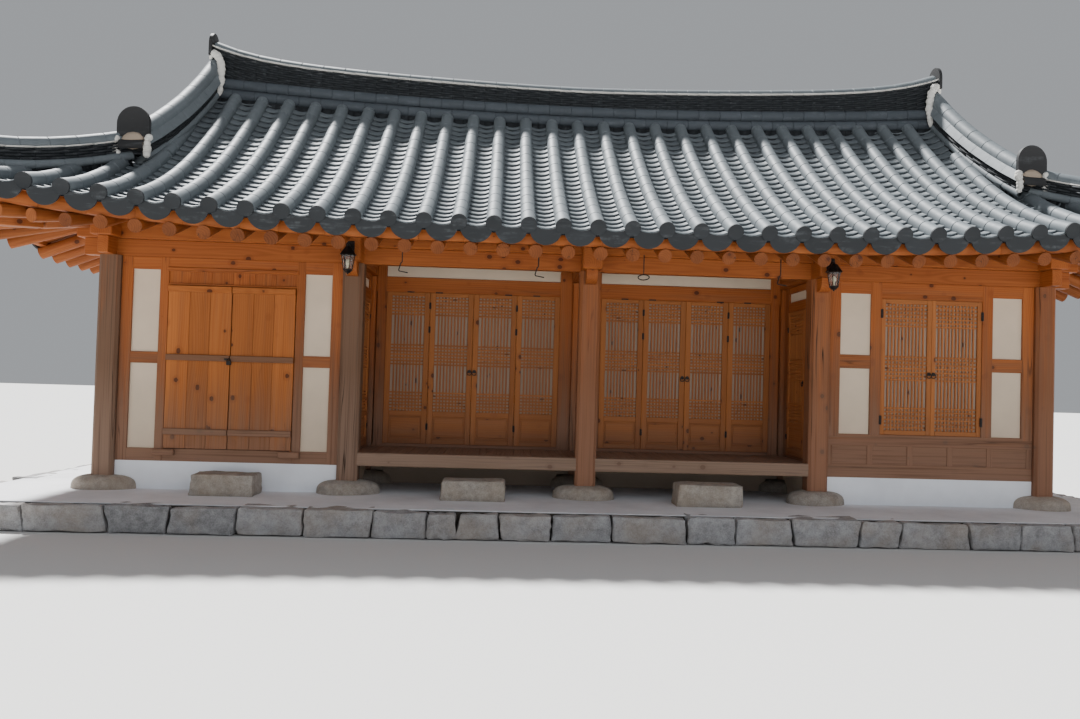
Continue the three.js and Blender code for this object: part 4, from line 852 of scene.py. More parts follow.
def make_materials():
    """Makes every finish once."""
    c = group("colours")
    red = c.pine_light, c.pine_dark
    MATERIALS.update(
        pine=pine_material("oiled_red_pine", *red),
        # A darker copy of the pine for the rafters: painted shade under the eaves.
        shaded=pine_material("eave_pine", linear("#9b5a2a"), linear("#783d19")),
        column=pine_material("weathered_pine_column", *red, 0.65, 1.0, 4.0),
        low_pine=pine_material("weathered_pine_rail", *red, 0.8, 0.5),
        batten=pine_material("weathered_pine_batten", *red, 0.85, 0.3, 8.0),
        planks=pine_material("door_plank_pine", linear("#ab652e"), linear("#8c4c1e"), 0.6, 0.2, 1.5),
        boards=boards_material(),
        glass=glass_material(),
        bulb=paper_material("opal_bulb", linear("#e9ddb8")),
        floor=pine_material("worn_floor_pine", linear("#b39a84"), linear("#8a7260"), 0.7, 0.4),
        tile=tile_material("smoked_clay_tile", c.tile),
        # A darker copy of the tile clay, painted shade, for the end tiles, ridge layers, ridge cores and the
        # top of the roof bed.
        end_tile=tile_material("smoked_clay_end_tile", c.shaded_tile_clay, 0.65),
        # A darker copy of the tile clay for the main ridge's flank rolls: painted shade, as they lie in
        # shadow under the ridge.
        ridge_tile=tile_material("smoked_clay_ridge_tile", linear("#474d53"), 0.65),
        plate=tile_material("smoked_clay_plate", linear("#2b2b2c"), 0.6),
        clay=plaster_material("clay_mortar", linear("#a79684"), 0.0),
        grey_column=pine_material("grey_pine_column", *red, 1.0, 1.0, 8.0),
        leaf=pine_material("leaf_pine", linear("#a86835"), linear("#8e542d"), 0.4, 0.0, 1.2),
        # End grain is darker in itself, and darker still here as painted shade under the eaves.
        end_grain=pine_material("pine_end_grain", linear("#82471e"), linear("#5a2d12"), 0.0, 0.8),
        grey_end=pine_material("weathered_end_grain", *red, 0.9, 0.8, 6.0),
        plaster=plaster_material("lime_plaster", c.plaster),
        mortar=plaster_material("lime_mortar", c.mortar, 0.0),
        foundation=plaster_material("foundation_plaster", linear("#f6f9fd"), 0.1),
        stone=stone_material("split_granite", c.granite),
        field_stone=stone_material("warm_granite", linear("#a39b91")),
        earth=earth_material("packed_earth", c.earth),
        paper=paper_material("mulberry_paper", c.paper),
        iron=iron_material("painted_wrought_iron", c.iron),
    )


# Operators


class Piece(bpy.types.Operator):
    """Base of the operators that make pieces."""
    bl_options = {"REGISTER", "UNDO"}

    def execute(self, context):
        self.make()
        return {"FINISHED"}


def convex_pattern():
    """A convex tile: a ring of clay extruded along the slope, with a crisp joint at both ends."""
    obj = added(
        bpy.ops.mesh.primitive_circle_add, vertices=20, radius=group("tiles").radius * 0.9, rotation=LYING,
    )
    edit(obj, "VERT")
    for step, grow in ((0.022, 1 / 0.9), (0.95, 0.99), (0.026, 0.91)):
        bpy.ops.mesh.extrude_region_move(TRANSFORM_OT_translate={"value": (0, step, 0)})
        bpy.ops.transform.resize(value=(grow, 1, grow), center_override=(0, 0, 0))
    bpy.ops.mesh.select_all(action="SELECT")
    bpy.ops.mesh.bisect(plane_co=(0, 0, -0.045), plane_no=(0, 0, 1), clear_inner=True)
    face_outwards()
    return done(obj, "convex_tile")


def arc_sizes():
    """Half the width and the radius of a concave tile."""
    tiles = group("tiles")
    half = tiles.pitch * 0.46
    return half, (half ** 2 + tiles.sag ** 2) / (2 * tiles.sag)


def concave_pattern():
    """A concave tile: a shallow arc with a thick rounded lip at its lower end, which throws a shadow."""
    _, radius = arc_sizes()
    profile = ((0.5, -0.016), (0.12, -0.006), (0.0, 0.02), (0.02, 0.029), (0.09, 0.033), (1.2, 0.004))
    obj = added(
        bpy.ops.mesh.primitive_circle_add, (0, 0, radius - group("tiles").sag), vertices=26, radius=radius,
        rotation=LYING,
    )
    edit(obj, "VERT")
    bpy.ops.mesh.bisect(plane_co=(0, 0, 0), plane_no=(0, 0, 1), clear_outer=True)
    bpy.ops.mesh.select_all(action="SELECT")
    bpy.ops.transform.translate(value=(0, *profile[0]))
    for (y0, z0), (y1, z1) in zip(profile, profile[1:]):
        bpy.ops.mesh.extrude_region_move(TRANSFORM_OT_translate={"value": (0, y1 - y0, z1 - z0)})
    face_outwards()
    return done(obj, "concave_tile")


def disc_pattern():
    """A round end tile: a thick disc with a raised rim round a shallow face."""
    obj = cylinder(20, group("tiles").disc, 0.022, (0, -0.006, 0), LYING)
    inset_front(obj, 0.011, -0.004)
    return done(obj, "end_disc")


def crescent_pattern():
    """A crescent end tile: a disc cut hollow along its top, hung under a concave tile."""
    half, radius = arc_sizes()
    obj = cylinder(40, half + 0.003, 0.018, (0, -0.004, -0.04), LYING)
    cutter = cylinder(64, radius - 0.004, 0.2, (0, 0, radius - group("tiles").sag + 0.016), LYING)
    cut = obj.modifiers.new("hollow", "BOOLEAN")
    cut.operation = "DIFFERENCE"
    cut.object = cutter
    cut.solver = "EXACT"
    pick(obj)
    bpy.ops.object.modifier_apply(modifier="hollow")
    remove(cutter)
    edit(obj)
    bpy.ops.mesh.bisect(plane_co=(0, 0, -0.002), plane_no=(0, 0, 1), clear_outer=True, use_fill=True)
    return done(obj, "end_crescent")


def unscaled(place):
    """The same place without its stretch along the row."""
    location, turn, _ = place.decompose()
    return Matrix.Translation(location) @ turn.to_matrix().to_4x4()


class HANOK_OT_tiles(Piece):
    """Rows of convex tiles and channels of concave tiles, with their end tiles at the eaves"""
    bl_idname = "hanok.tiles"
    bl_label = "Roof tiles"

    def make(self):
        tiles = group("tiles")
        convex = "convex_tile_rows", convex_pattern, (tiles.length, 0.0), 24, 0.5
        concave = "concave_tile_channels", concave_pattern, (tiles.lap, 0.5, 0.012), 50, 1.0
        for name, pattern, row, smooth, tones, end_name, end in (
            (*convex, "round_end_tiles", disc_pattern), (*concave, "crescent_end_tiles", crescent_pattern),
        ):
            places, ends = all_rows(*row)
            tile, end_tile = pattern(), end()
            finish_piece(copies(tile, places, name, smooth, tones), "tile")
            squared = [unscaled(place) for place in ends]
            # The end tiles take the darker copy of the tile clay, as painted shade.
            finish_piece(copies(end_tile, squared, end_name, 35), "end_tile")
            remove(tile, end_tile)


class HANOK_OT_roof_bed(Piece):
    """The boards and earth under the tiles, from the frame's own roof, let down under the concave tiles"""
    bl_idname = "hanok.roof_bed"
    bl_label = "Roof boards"

    def make(self):
        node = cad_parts["roof_tile_bed"]
        bed = node.copy()
        bed.data = node.data.copy()
        bed.parent = None
        bed.matrix_world = Matrix.Identity(4)
        bpy.context.collection.objects.link(bed)
        edit(bed, "FACE")
        bpy.ops.mesh.remove_doubles(threshold=0.0002)
        select_by(bed, "polygons", lambda f: f.normal.z > 0.35 and f.center.z > 2.78)
        bpy.ops.transform.translate(value=(0, 0, -0.1))
        bpy.ops.object.mode_set(mode="OBJECT")
        at_eave, set_back = 0.02, 0.09
        for vertex in bed.data.vertices:
            x, y, _ = vertex.co
            if front_distance(x, y) < at_eave:
                vertex.co.y = math.copysign(abs(y) - set_back, y)
            if side_distance(x, y) < at_eave:
                vertex.co.x = math.copysign(abs(x) - set_back, x)
        write_marks(bed.data, points_of(bed.data), 0.5)
        done(bed, "roof_bed")
        # Its top takes the darker copy of the tile clay: painted shade under the tiles.
        finish_piece(bed, "end_tile boards", replaced=("roof_tile_bed",))
        for face in bed.data.polygons:
            face.material_index = int(face.normal.z < -0.3)


class HANOK_OT_rafters(Piece):
    """Round rafters that fan out at the corners, hip rafters, and the eave board on their ends"""
    bl_idname = "hanok.rafters"
    bl_label = "Rafters"

    def make(self):
        pole = cylinder(18, group("timber").rafter, 1, (0, 0.5, 0), LYING)
        drop = -0.08
        front, side = [], []
        for i in range(-15, 16):
            x = i * RAFTER_SPACING
            last = min(EAVE_Y - 0.02, EAVE_X - abs(x) - 0.04)
            stops = (RAFTER_SETBACK, min(1.15, last), last)
            front += along_path([front_point(x, d, deck_height, drop) for d in stops])
        for i in range(-4, 5):
            y = i * RAFTER_SPACING
            stops = (RAFTER_SETBACK, 1.15, EAVE_Y - abs(y) - 0.04)
            side += along_path([side_point(y, d, deck_height, drop) for d in stops])
        focus = Vector((4.5, -1.5, 0))
        for x in (4.8, 5.09, 5.37, 5.64):
            for point, places in (
                (front_point(x, RAFTER_SETBACK), front), (side_point(HIP_SHIFT - x, RAFTER_SETBACK), side),
            ):
                path = []
                for t in (0, 0.45, 0.82):
                    p = point.lerp(focus, t)
                    distance = min(front_distance(p.x, p.y), side_distance(p.x, p.y))
                    path.append(Vector((p.x, p.y, deck_height(p.x, p.y, distance) + drop - 0.024)))
                for sx, sy in CORNERS:
                    places += along_path([Vector((p.x * sx, p.y * sy, p.z)) for p in path])
        # The front and back rafter ends are partly painted shade: their end grain is darkened for the shade
        # under the eaves.
        for name, places, end, nodes in (
            ("front_back", front, "end_grain", ("rafters_front", "rafters_back")),
            ("side", side, "grey_end", ("rafters_left", "rafters_right")),
        ):
            unique = {}
            for place in places + [HALF_TURN @ place for place in places]:
                unique[tuple(round(v, 3) for v in place.translation)] = place
            poles = copies(pole, list(unique.values()), f"rafters_{name}_poles", 40)
            finish_piece(poles, f"shaded {end}", replaced=nodes)
            for face in poles.data.polygons:
                face.material_index = int(face.center.z < 2.75 and len(face.vertices) > 4)
        remove(pole)
        self.hips()
        self.boards()

    def hips(self):
        """The big diagonal timbers under the corners."""
        beam = timber((-0.085, 0, -0.25), (0.085, 1, -0.01), 0.008, along=1)
        places = []
        for sx, sy in CORNERS:
            path = []
            for x in (4.25, 4.8, 5.3, 5.7, 5.96):
                y = x - HIP_SHIFT
                path.append(Vector((x * sx, -y * sy, deck_height(x, y, front_distance(x, y)) - 0.024)))
            places += along_path(path)
        finish_piece(copies(beam, places, "hip_rafters"), "shaded")
        remove(beam)

    def boards(self):
        """The eave board, in lengths, on the ends of the rafters."""
        board = timber((-0.041, 0, -0.066), (0.041, 1, 0.066), 0.003, along=1)
        inwards, rise = RAFTER_SETBACK + 0.041, 0.034
        front = [front_point(i * 0.42, inwards, deck_height, rise) for i in range(-14, 15)]
        side = [side_point(i * 0.36, inwards, deck_height, rise) for i in range(-8, 9)]
        places = along_path(front) + along_path(side)
        places += [HALF_TURN @ place for place in places]
        finish_piece(copies(board, places, "eave_boards"), "pine")
        remove(board)


class HANOK_OT_columns(Piece):
    """Square columns with cut corners, the beams and purlins that they carry, and the brackets"""
    bl_idname = "hanok.columns"
    bl_label = "Columns and beams"

    def column(self, x, y):
        """One column, with its grain upright."""
        timbers = group("timber")
        half = timbers.column / 2
        post = block((x - half, y - half, BASE_STONE_TOP - 0.03), (x + half, y + half, BEAM_BOTTOM), 0)
        return mark_grain(cut_edges(post, lambda a, b: abs(a.z - b.z) > 1, timbers.chamfer), 2)

    def make(self):
        for i in range(5):
            post = done(self.column((i - 2) * BAY, -HALF_DEPTH), f"front_column_{i + 1}_post")
            finish = "grey_column" if i < 2 else "column"
            finish_piece(post, finish, replaced=(f"front_column_{i + 1}",))
        backs = [self.column((i - 2) * BAY, HALF_DEPTH) for i in range(5)]
        finish_piece(join("back_columns", backs), "column")
        self.purlins()
        self.crossbeams()

    def purlins(self):
        """The square purlin round the house on its bearer, with heads at the corners."""
        parts = []
        for side in (-1, 1):
            y, x = side * HALF_DEPTH, side * HALF_LENGTH
            parts += [
                member(False, y, 0.21, -5.13, 5.13, PURLIN_BOTTOM, PURLIN_TOP, 0.008),
                member(True, x, 0.209, -2.13, 2.13, PURLIN_BOTTOM + 0.001, PURLIN_TOP - 0.001, 0.008),
                member(False, y, 0.104, -5.07, 5.07, BEAM_BOTTOM, PURLIN_BOTTOM, 0.005),
                member(True, x, 0.103, -2.07, 2.07, BEAM_BOTTOM + 0.001, PURLIN_BOTTOM, 0.005),
            ]
        finish_piece(join("purlin_ring", parts), "pine", replaced=("eave_purlins",))
        ridge = done(member(False, 0, 0.18, -2.94, 2.94, 3.438, 3.638, 0.01), "ridge_purlin_beam")
        finish_piece(ridge, "pine", replaced=("ridge_purlin",))

    def crossbeams(self):
        """Crossbeams whose heads reach out over the columns, on brackets with a curved foot."""
        for i in range(3):
            x = (i - 1) * BAY
            parts = [member(True, x, 0.2, -2.13, 2.13, BEAM_BOTTOM, BEAM_TOP, 0.012)]
            for y in (-HALF_DEPTH, HALF_DEPTH):
                bracket = block((x - 0.055, y - 0.25, 2.43), (x + 0.055, y + 0.25, BEAM_BOTTOM), 0)
                cut_edges(bracket, lambda a, b: max(a.z, b.z) < 2.44 and abs(a.x - b.x) > 0.05, 0.1, 5)
                parts.append(mark_grain(bracket, 1))
            parts.append(member(False, 0, 0.16, x - 0.08, x + 0.08, BEAM_TOP, 3.44, 0.01))
            beam = join(f"crossbeam_{i + 1}_beam", parts)
            finish_piece(beam, "pine", replaced=(f"crossbeam_{i + 1}",))


def both_sides(middle, distance, half):
    """Two spans of one width at the same distance on both sides of a middle."""
    return [(middle + s * distance - half, middle + s * distance + half) for s in (-1, 1)]


def wall_frame(name, turned, plane, posts, rails, extra=()):
    """The posts and rails of one wall as one piece; posts stand a little proud of rails."""
    timbers = group("timber")
    parts = []
    for thickness, spans in ((timbers.post, posts), (timbers.rail, rails)):
        for start, end, *heights in spans:
            parts.append(member(turned, plane, thickness, start, end, *(heights or (SILL_BOTTOM, WALL_TOP))))
    piece = join(f"{name}_timbers", parts + list(extra))
    finish_piece(piece, "low_pine", replaced=(f"{name}_frame",))


class HANOK_OT_walls(Piece):
    """Posts and rails of the walls, with the plaster between them"""
    bl_idname = "hanok.walls"
    bl_label = "Walls"

    def make(self):
        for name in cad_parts:
            # The porch foundation takes a beige clay finish, dimmer than the other foundations as painted
            # shade under the porch floor.
            if "porch_foundation" in name:
                dress(name, "clay")
            elif "foundation" in name:
                dress(name, "foundation")
            elif "plaster" in name:
                dress(name, "plaster")
        self.plinths()
        self.left_bay()
        self.right_bay()
        self.porch()
        self.ends()
        self.back()

    def plinths(self):
        """The plastered foot of the outer walls, down to the base stones."""
        spans = []
        for side, place, bays in ((-1, "front", (-2, 1)), (1, "back", (-2, -1, 0, 1))):
            for bay in bays:
                span = bay * BAY + 0.1, (bay + 1) * BAY - 0.1
                spans.append((f"{place}_{bay + 3}", False, side * HALF_DEPTH, *span))
            spans.append((f"end_{side + 2}", True, side * HALF_LENGTH, -1.7, 1.7))
        for name, turned, plane, start, end in spans:
            wall = slab(turned, plane, 0.074, start, end, PLATFORM_TOP - 0.01, SILL_BOTTOM - 0.001, 0)
            finish_piece(done(wall, f"plinth_{name}"), "foundation")

    def left_bay(self):
        """The wall round the plank doors, with boards over them and their pivot blocks."""
        left, right, middle = -2 * BAY + COLUMN_HALF, -BAY - COLUMN_HALF, -1.5 * BAY
        posts = [(left, left + POST_WIDTH), (right - POST_WIDTH, right), *both_sides(middle, 0.676, 0.043)]
        rails = [
            (left, right, *SILL), (left, right, *LINTEL), (left, middle - 0.66, *MIDDLE_RAIL),
            (middle + 0.66, right, *MIDDLE_RAIL), (middle - 0.66, middle + 0.66, 2.29, 2.31),
        ]
        board = 1.272 / 6
        extra = []
        for i in range(6):
            start = middle - 0.636 + i * board
            end = start + board - 0.001
            extra.append(timber((start, -1.824, 2.286), (end, -1.798, 2.446), 0.002, along=2))
        extra.append(timber((middle - 0.65, -1.856, 2.43), (middle + 0.65, -1.8, 2.47), 0.006, along=0))
        for start, end in both_sides(middle, 0.615, 0.105):
            extra.append(timber((start, -1.9, 0.587), (end, -1.84, 0.649), 0.008, along=0))
        wall_frame("front_left_wall", False, -HALF_DEPTH, posts, rails, extra)

    def right_bay(self):
        """The wall round the lattice window, with a row of wooden panels below."""
        left, right, middle = BAY + COLUMN_HALF, 2 * BAY - COLUMN_HALF, 1.5 * BAY
        posts = [(left, left + 0.123, 0.95, WALL_TOP), (right - 0.123, right, 0.95, WALL_TOP)]
        posts += [(*span, 0.97, WALL_TOP) for span in both_sides(middle, 0.595, 0.057)]
        rails = [
            (left, right, SILL_BOTTOM, 0.665), (left, right, 0.858, 0.978), (left, right, *LINTEL),
            (left, middle - 0.6, 1.66, 1.8), (middle + 0.6, right, 1.66, 1.8),
            (middle - 0.6, middle + 0.6, 2.395, 2.45),
        ]
        extra = [timber((left, -1.832, 0.65), (right, -1.8, 0.87), 0.001, along=0)]
        divider = 0.06
        for i in range(6):
            start = left + i * (right - left - divider) / 5
            extra.append(timber((start, -1.84, 0.66), (start + divider, -1.76, 0.862), along=2))
        wall_frame("front_right_wall", False, -HALF_DEPTH, posts, rails, extra)

    def porch(self):
        """The wall with the folding doors, set back behind the porch, and the porch's two ends."""
        spans = (-2.3, -DOORS_OUTER), (DOORS_OUTER, 2.3), (-DOORS_INNER, -0.09), (0.09, DOORS_INNER)
        posts = [(*span, SILL_BOTTOM, 3.1) for span in spans]
        rails = [(-2.31, 2.31, SILL_BOTTOM, 0.69), (-2.31, 2.31, 2.397, WALL_TOP)]
        extra = [
            timber((x - 0.09, RECESS_Y - 0.09, BASE_STONE_TOP), (x + 0.09, RECESS_Y + 0.09, 2.56), along=2)
            for x in (0, -BAY, BAY)
        ]
        wall_frame("porch_wall", False, RECESS_Y, posts, rails, extra)
        front, back = -HALF_DEPTH + COLUMN_HALF, RECESS_Y - 0.09
        for s, name in SIDES:
            posts = [(front, -1.56), (-0.96, back)]
            rails = [(front, back, SILL_BOTTOM, 0.68), (-1.57, -0.95, 2.29, 2.4)]
            rails.append((front, back, 2.5, WALL_TOP))
            wall_frame(f"porch_{name}_end", True, s * BAY, posts, rails)

    def ends(self):
        """The two end walls, each with three panels above three."""
        a, b = -HALF_DEPTH + COLUMN_HALF, HALF_DEPTH - COLUMN_HALF
        posts = [(a, a + POST_WIDTH), (b - POST_WIDTH, b), (-0.84, -0.66), (0.435, 0.615)]
        rails = [(a, b, *heights) for heights in (SILL, MIDDLE_RAIL, LINTEL)]
        for s, name in SIDES:
            wall_frame(f"{name}_end_wall", True, s * HALF_LENGTH, posts, rails)

    def back(self):
        """The back wall with two small windows."""
        posts, rails = [], []
        for i in range(4):
            a, b = (i - 2) * BAY, (i - 1) * BAY
            posts += [(a + 0.105, a + 0.213), (b - 0.213, b - 0.105)]
            for heights in (SILL, (1.12, 1.234), LINTEL):
                rails.append((a + COLUMN_HALF, b - COLUMN_HALF, *heights))
        for x in (-BAY / 2, BAY / 2):
            posts += [(*span, 1.214, 2.29) for span in both_sides(x, 0.465, 0.045)]
            rails.append((x - 0.5, x + 0.5, 2.2, 2.29))
        wall_frame("back_wall", False, HALF_DEPTH, posts, rails)


def lattice_leaf(width, low, high, lattice, panel, groups, upright):
    """A leaf in its own plane, seen from -Y: stiles, rails, bars in bands, paper and a board panel."""
    sizes = group("lattice")
    t, s, b = sizes.thickness, sizes.stile if panel else sizes.window_stile, sizes.bar
    x0, x1 = -width / 2, width / 2
    left, right = x0 + s, x1 - s
    parts = [timber((x0, 0, low), (left, t, high), along=2), timber((right, 0, low), (x1, t, high), along=2)]
    rails = [(low, panel[0]), (panel[1], lattice[0])] if panel else [(low, lattice[0])]
    for z0, z1 in [(lattice[1], high), *rails]:
        parts.append(timber((left, 0.001, z0), (right, t - 0.001, z1), along=0))
    if panel:
        z0, z1 = panel
        parts.append(timber((left, 0.02, z0), (right, t - 0.004, z1), 0.001, along=0))
        rim = 0.022
        parts.append(timber((left + rim, 0.01, z0 + rim), (right - rim, 0.021, z1 - rim), 0.007, along=0))
    for i in range(upright):
        x = left + (width - 2 * s) * (i + 1) / (upright + 1)
        parts.append(timber((x - b / 2, 0.01, lattice[0]), (x + b / 2, 0.024, lattice[1]), 0.002, along=2))
    for z in groups:
        parts.append(timber((left, 0.0085, z - b / 2), (right, 0.0225, z + b / 2), 0.002, along=0))
    leaf = join("leaf_pattern", parts)
    low, high = (left - 0.002, 0.0262, lattice[0] - 0.002), (right + 0.002, 0.0278, lattice[1] + 0.002)
    paper = block(low, high, 0)
    write_marks(paper.data, np.zeros((len(paper.data.vertices), 3)), 0.5)
    leaf.data.materials.append(MATERIALS["leaf"])
    paper.data.materials.append(MATERIALS["paper"])
    return join("leaf_pattern", [leaf, paper])


def bands(low, high, counts=(6, 7, 6), step=0.036):
    """Heights of the crossing bars: a band at the top, one in the middle and one at the bottom."""
    bottom, middle, top = counts
    heights = [low + step * (i + 0.75) for i in range(bottom)]
    centre = low + (high - low) * 0.49
    heights += [centre + step * (i - (middle - 1) / 2) for i in range(middle)]
    heights += [high - step * (i + 0.75) for i in range(top)]
    return heights


def hinge_block(x, y0, y1, z, half=0.012, tall=0.035):
    """A small iron strap hinge: a plate with a round knuckle at its middle."""
    plate = block((x - half, y0, z - tall), (x + half, y1, z + tall), 0.001)
    return join("hinge", [plate, cylinder(10, 0.007, tall * 2.1, (x, y0 + 0.002, z))])


def ring_pull(x, y, z):
    """A round iron plate with a ring that hangs from a staple."""
    plate = cylinder(14, 0.02, 0.006, (x, y, z), LYING)
    return join("ring_pull", [plate, torus(18, 0.023, 0.0045, (x, y - 0.008, z - 0.02))])


class HANOK_OT_leaves(Piece):
    """Lattice doors and windows with paper behind their bars, and the two plank doors"""
    bl_idname = "hanok.leaves"
    bl_label = "Doors and windows"

    def make(self):
        self.folding()
        self.windows()
        self.side_doors()
        self.planks()

    def folding(self):
        """Four pairs of lattice doors behind the porch, with their hinges, hangers and ring pulls."""
        step = (DOORS_OUTER - DOORS_INNER) / 4
        leaf = lattice_leaf(step - 0.003, 0.691, 2.396, (1.059, 2.352), (0.75, 1.0), bands(1.059, 2.352), 9)
        front = RECESS_Y - WALL_HALF + 0.004
        iron = []
        for k in range(4):
            start = (-DOORS_OUTER, DOORS_INNER)[k // 2]
            spots = [start + (k % 2 * 2 + i + 0.5) * step for i in range(2)]
            pair = join(f"folding_leaves_{k + 1}", [moved(leaf, at(x, front, 0)) for x in spots], 30)
            finish_piece(pair, None, replaced=(f"folding_doors_{k + 1}",))
        for start in (-DOORS_OUTER, DOORS_INNER):
            for seam in (1, 3):
                x = start + seam * step
                iron += [hinge_block(x, front - 0.004, front + 0.002, z) for z in (0.885, 1.98, 2.25)]
            for share in (0.55, 1.2, 2.8, 3.45):
                x = start + share * step
                iron.append(block((x - 0.04, front - 0.005, 2.392), (x + 0.04, front + 0.002, 2.406), 0.001))
            iron += [ring_pull(start + 2 * step + s * 0.028, front - 0.003, 1.52) for s in (-1, 1)]
        finish_piece(join("porch_hinges_and_rings", iron, 30), "iron")
        remove(leaf)

    def windows(self):
        """The two leaves of the front window, and the small windows of the back."""
        leaf = lattice_leaf(0.537, 0.979, 2.394, (1.028, 2.345), None, bands(1.028, 2.345, step=0.04), 11)
        front, middle = -HALF_DEPTH - WALL_HALF + 0.008, 1.5 * BAY
        for s, name in SIDES:
            piece = moved(leaf, at(middle + s * 0.269, front, 0), f"window_lattice_{name}")
            finish_piece(piece, None, replaced=(f"window_leaf_{name}",))
        iron = []
        for s in (-1, 1):
            x = middle + s * 0.538
            iron += [hinge_block(x, front - 0.012, front - 0.004, z, 0.014, 0.045) for z in (1.13, 2.24)]
            iron.append(ring_pull(middle + s * 0.024, front - 0.003, 1.62))
        finish_piece(join("window_hinges_and_rings", iron, 30), "iron")
        back = lattice_leaf(0.418, 1.235, 2.199, (1.284, 2.15), None, bands(1.284, 2.15, (3, 4, 3)), 7)
        xs = [x + s * 0.21 for x in (-BAY / 2, BAY / 2) for s in (-1, 1)]
        pieces = [moved(back, at(x, 1.838, 0) @ HALF_TURN) for x in xs]
        finish_piece(join("back_window_lattices", pieces, 30), None)
        remove(leaf, back)

    def side_doors(self):
        """A lattice door in each end wall of the porch, with its hinge plates, pins and ring pull."""
        leaf = lattice_leaf(0.59, 0.685, 2.285, (1.059, 2.24), (0.77, 1.0), bands(1.059, 2.24), 10)
        for s, name in SIDES:
            turn = turned_by(math.pi / 2 * -s)
            face = s * (BAY - WALL_HALF - 0.007)
            body = f"side_door_{name}"
            piece = moved(leaf, at(face, -1.26, 0) @ turn, f"{body}_leaf")
            finish_piece(piece, None, body, (body,))
            iron = []
            for z in (0.9, 2.1):
                iron.append(block((face - 0.003, -1.005, z - 0.04), (face + 0.003, -0.967, z + 0.02), 0.001))
                iron.append(cylinder(12, 0.007, 0.04, (face, -0.965, z)))
            iron.append(ring_pull(0, 0, 0))
            iron[-1].data.transform(at(face, -1.51, 1.5) @ turn)
            finish_piece(join(f"{body}_iron", iron, 30), "iron", body)
        remove(leaf)

    def planks(self):
        """The two plank doors, each with three boards, a top batten, a pin and two more battens."""
        front = -HALF_DEPTH - WALL_HALF - 0.007
        width, bottom, top = 0.624, 0.658, 2.283
        for s, name in SIDES:
            body = f"plank_door_{name}"
            outer = -1.5 * BAY + s * 0.628
            x0, x1 = sorted((outer, outer - s * width))
            edges = [x0, x0 + 0.212, x0 + 0.414, x1]
            parts = []
            for a, b in zip(edges, edges[1:]):
                low, high = (a + 0.0008, front, bottom), (b - 0.0008, front + 0.035, top)
                parts.append(timber(low, high, 0.0025, along=2))
            parts.append(self.batten(x0, x1, front, top - 0.06, top))
            parts.append(mark_grain(cylinder(12, 0.011, 0.014, (outer, front, 0.6565)), 2))
            finish_piece(join(f"{body}_boards", parts), "planks", body, (body,))
            battens = [self.batten(x0, x1, front, z - 0.03, z + 0.03) for z in (0.825, 1.565)]
            finish_piece(join(f"{body}_battens", battens), "batten", body)

    def batten(self, x0, x1, front, z0, z1):
        """A batten across a plank door."""
        return timber((x0, front - 0.028, z0), (x1, front + 0.001, z1), 0.004, along=0)


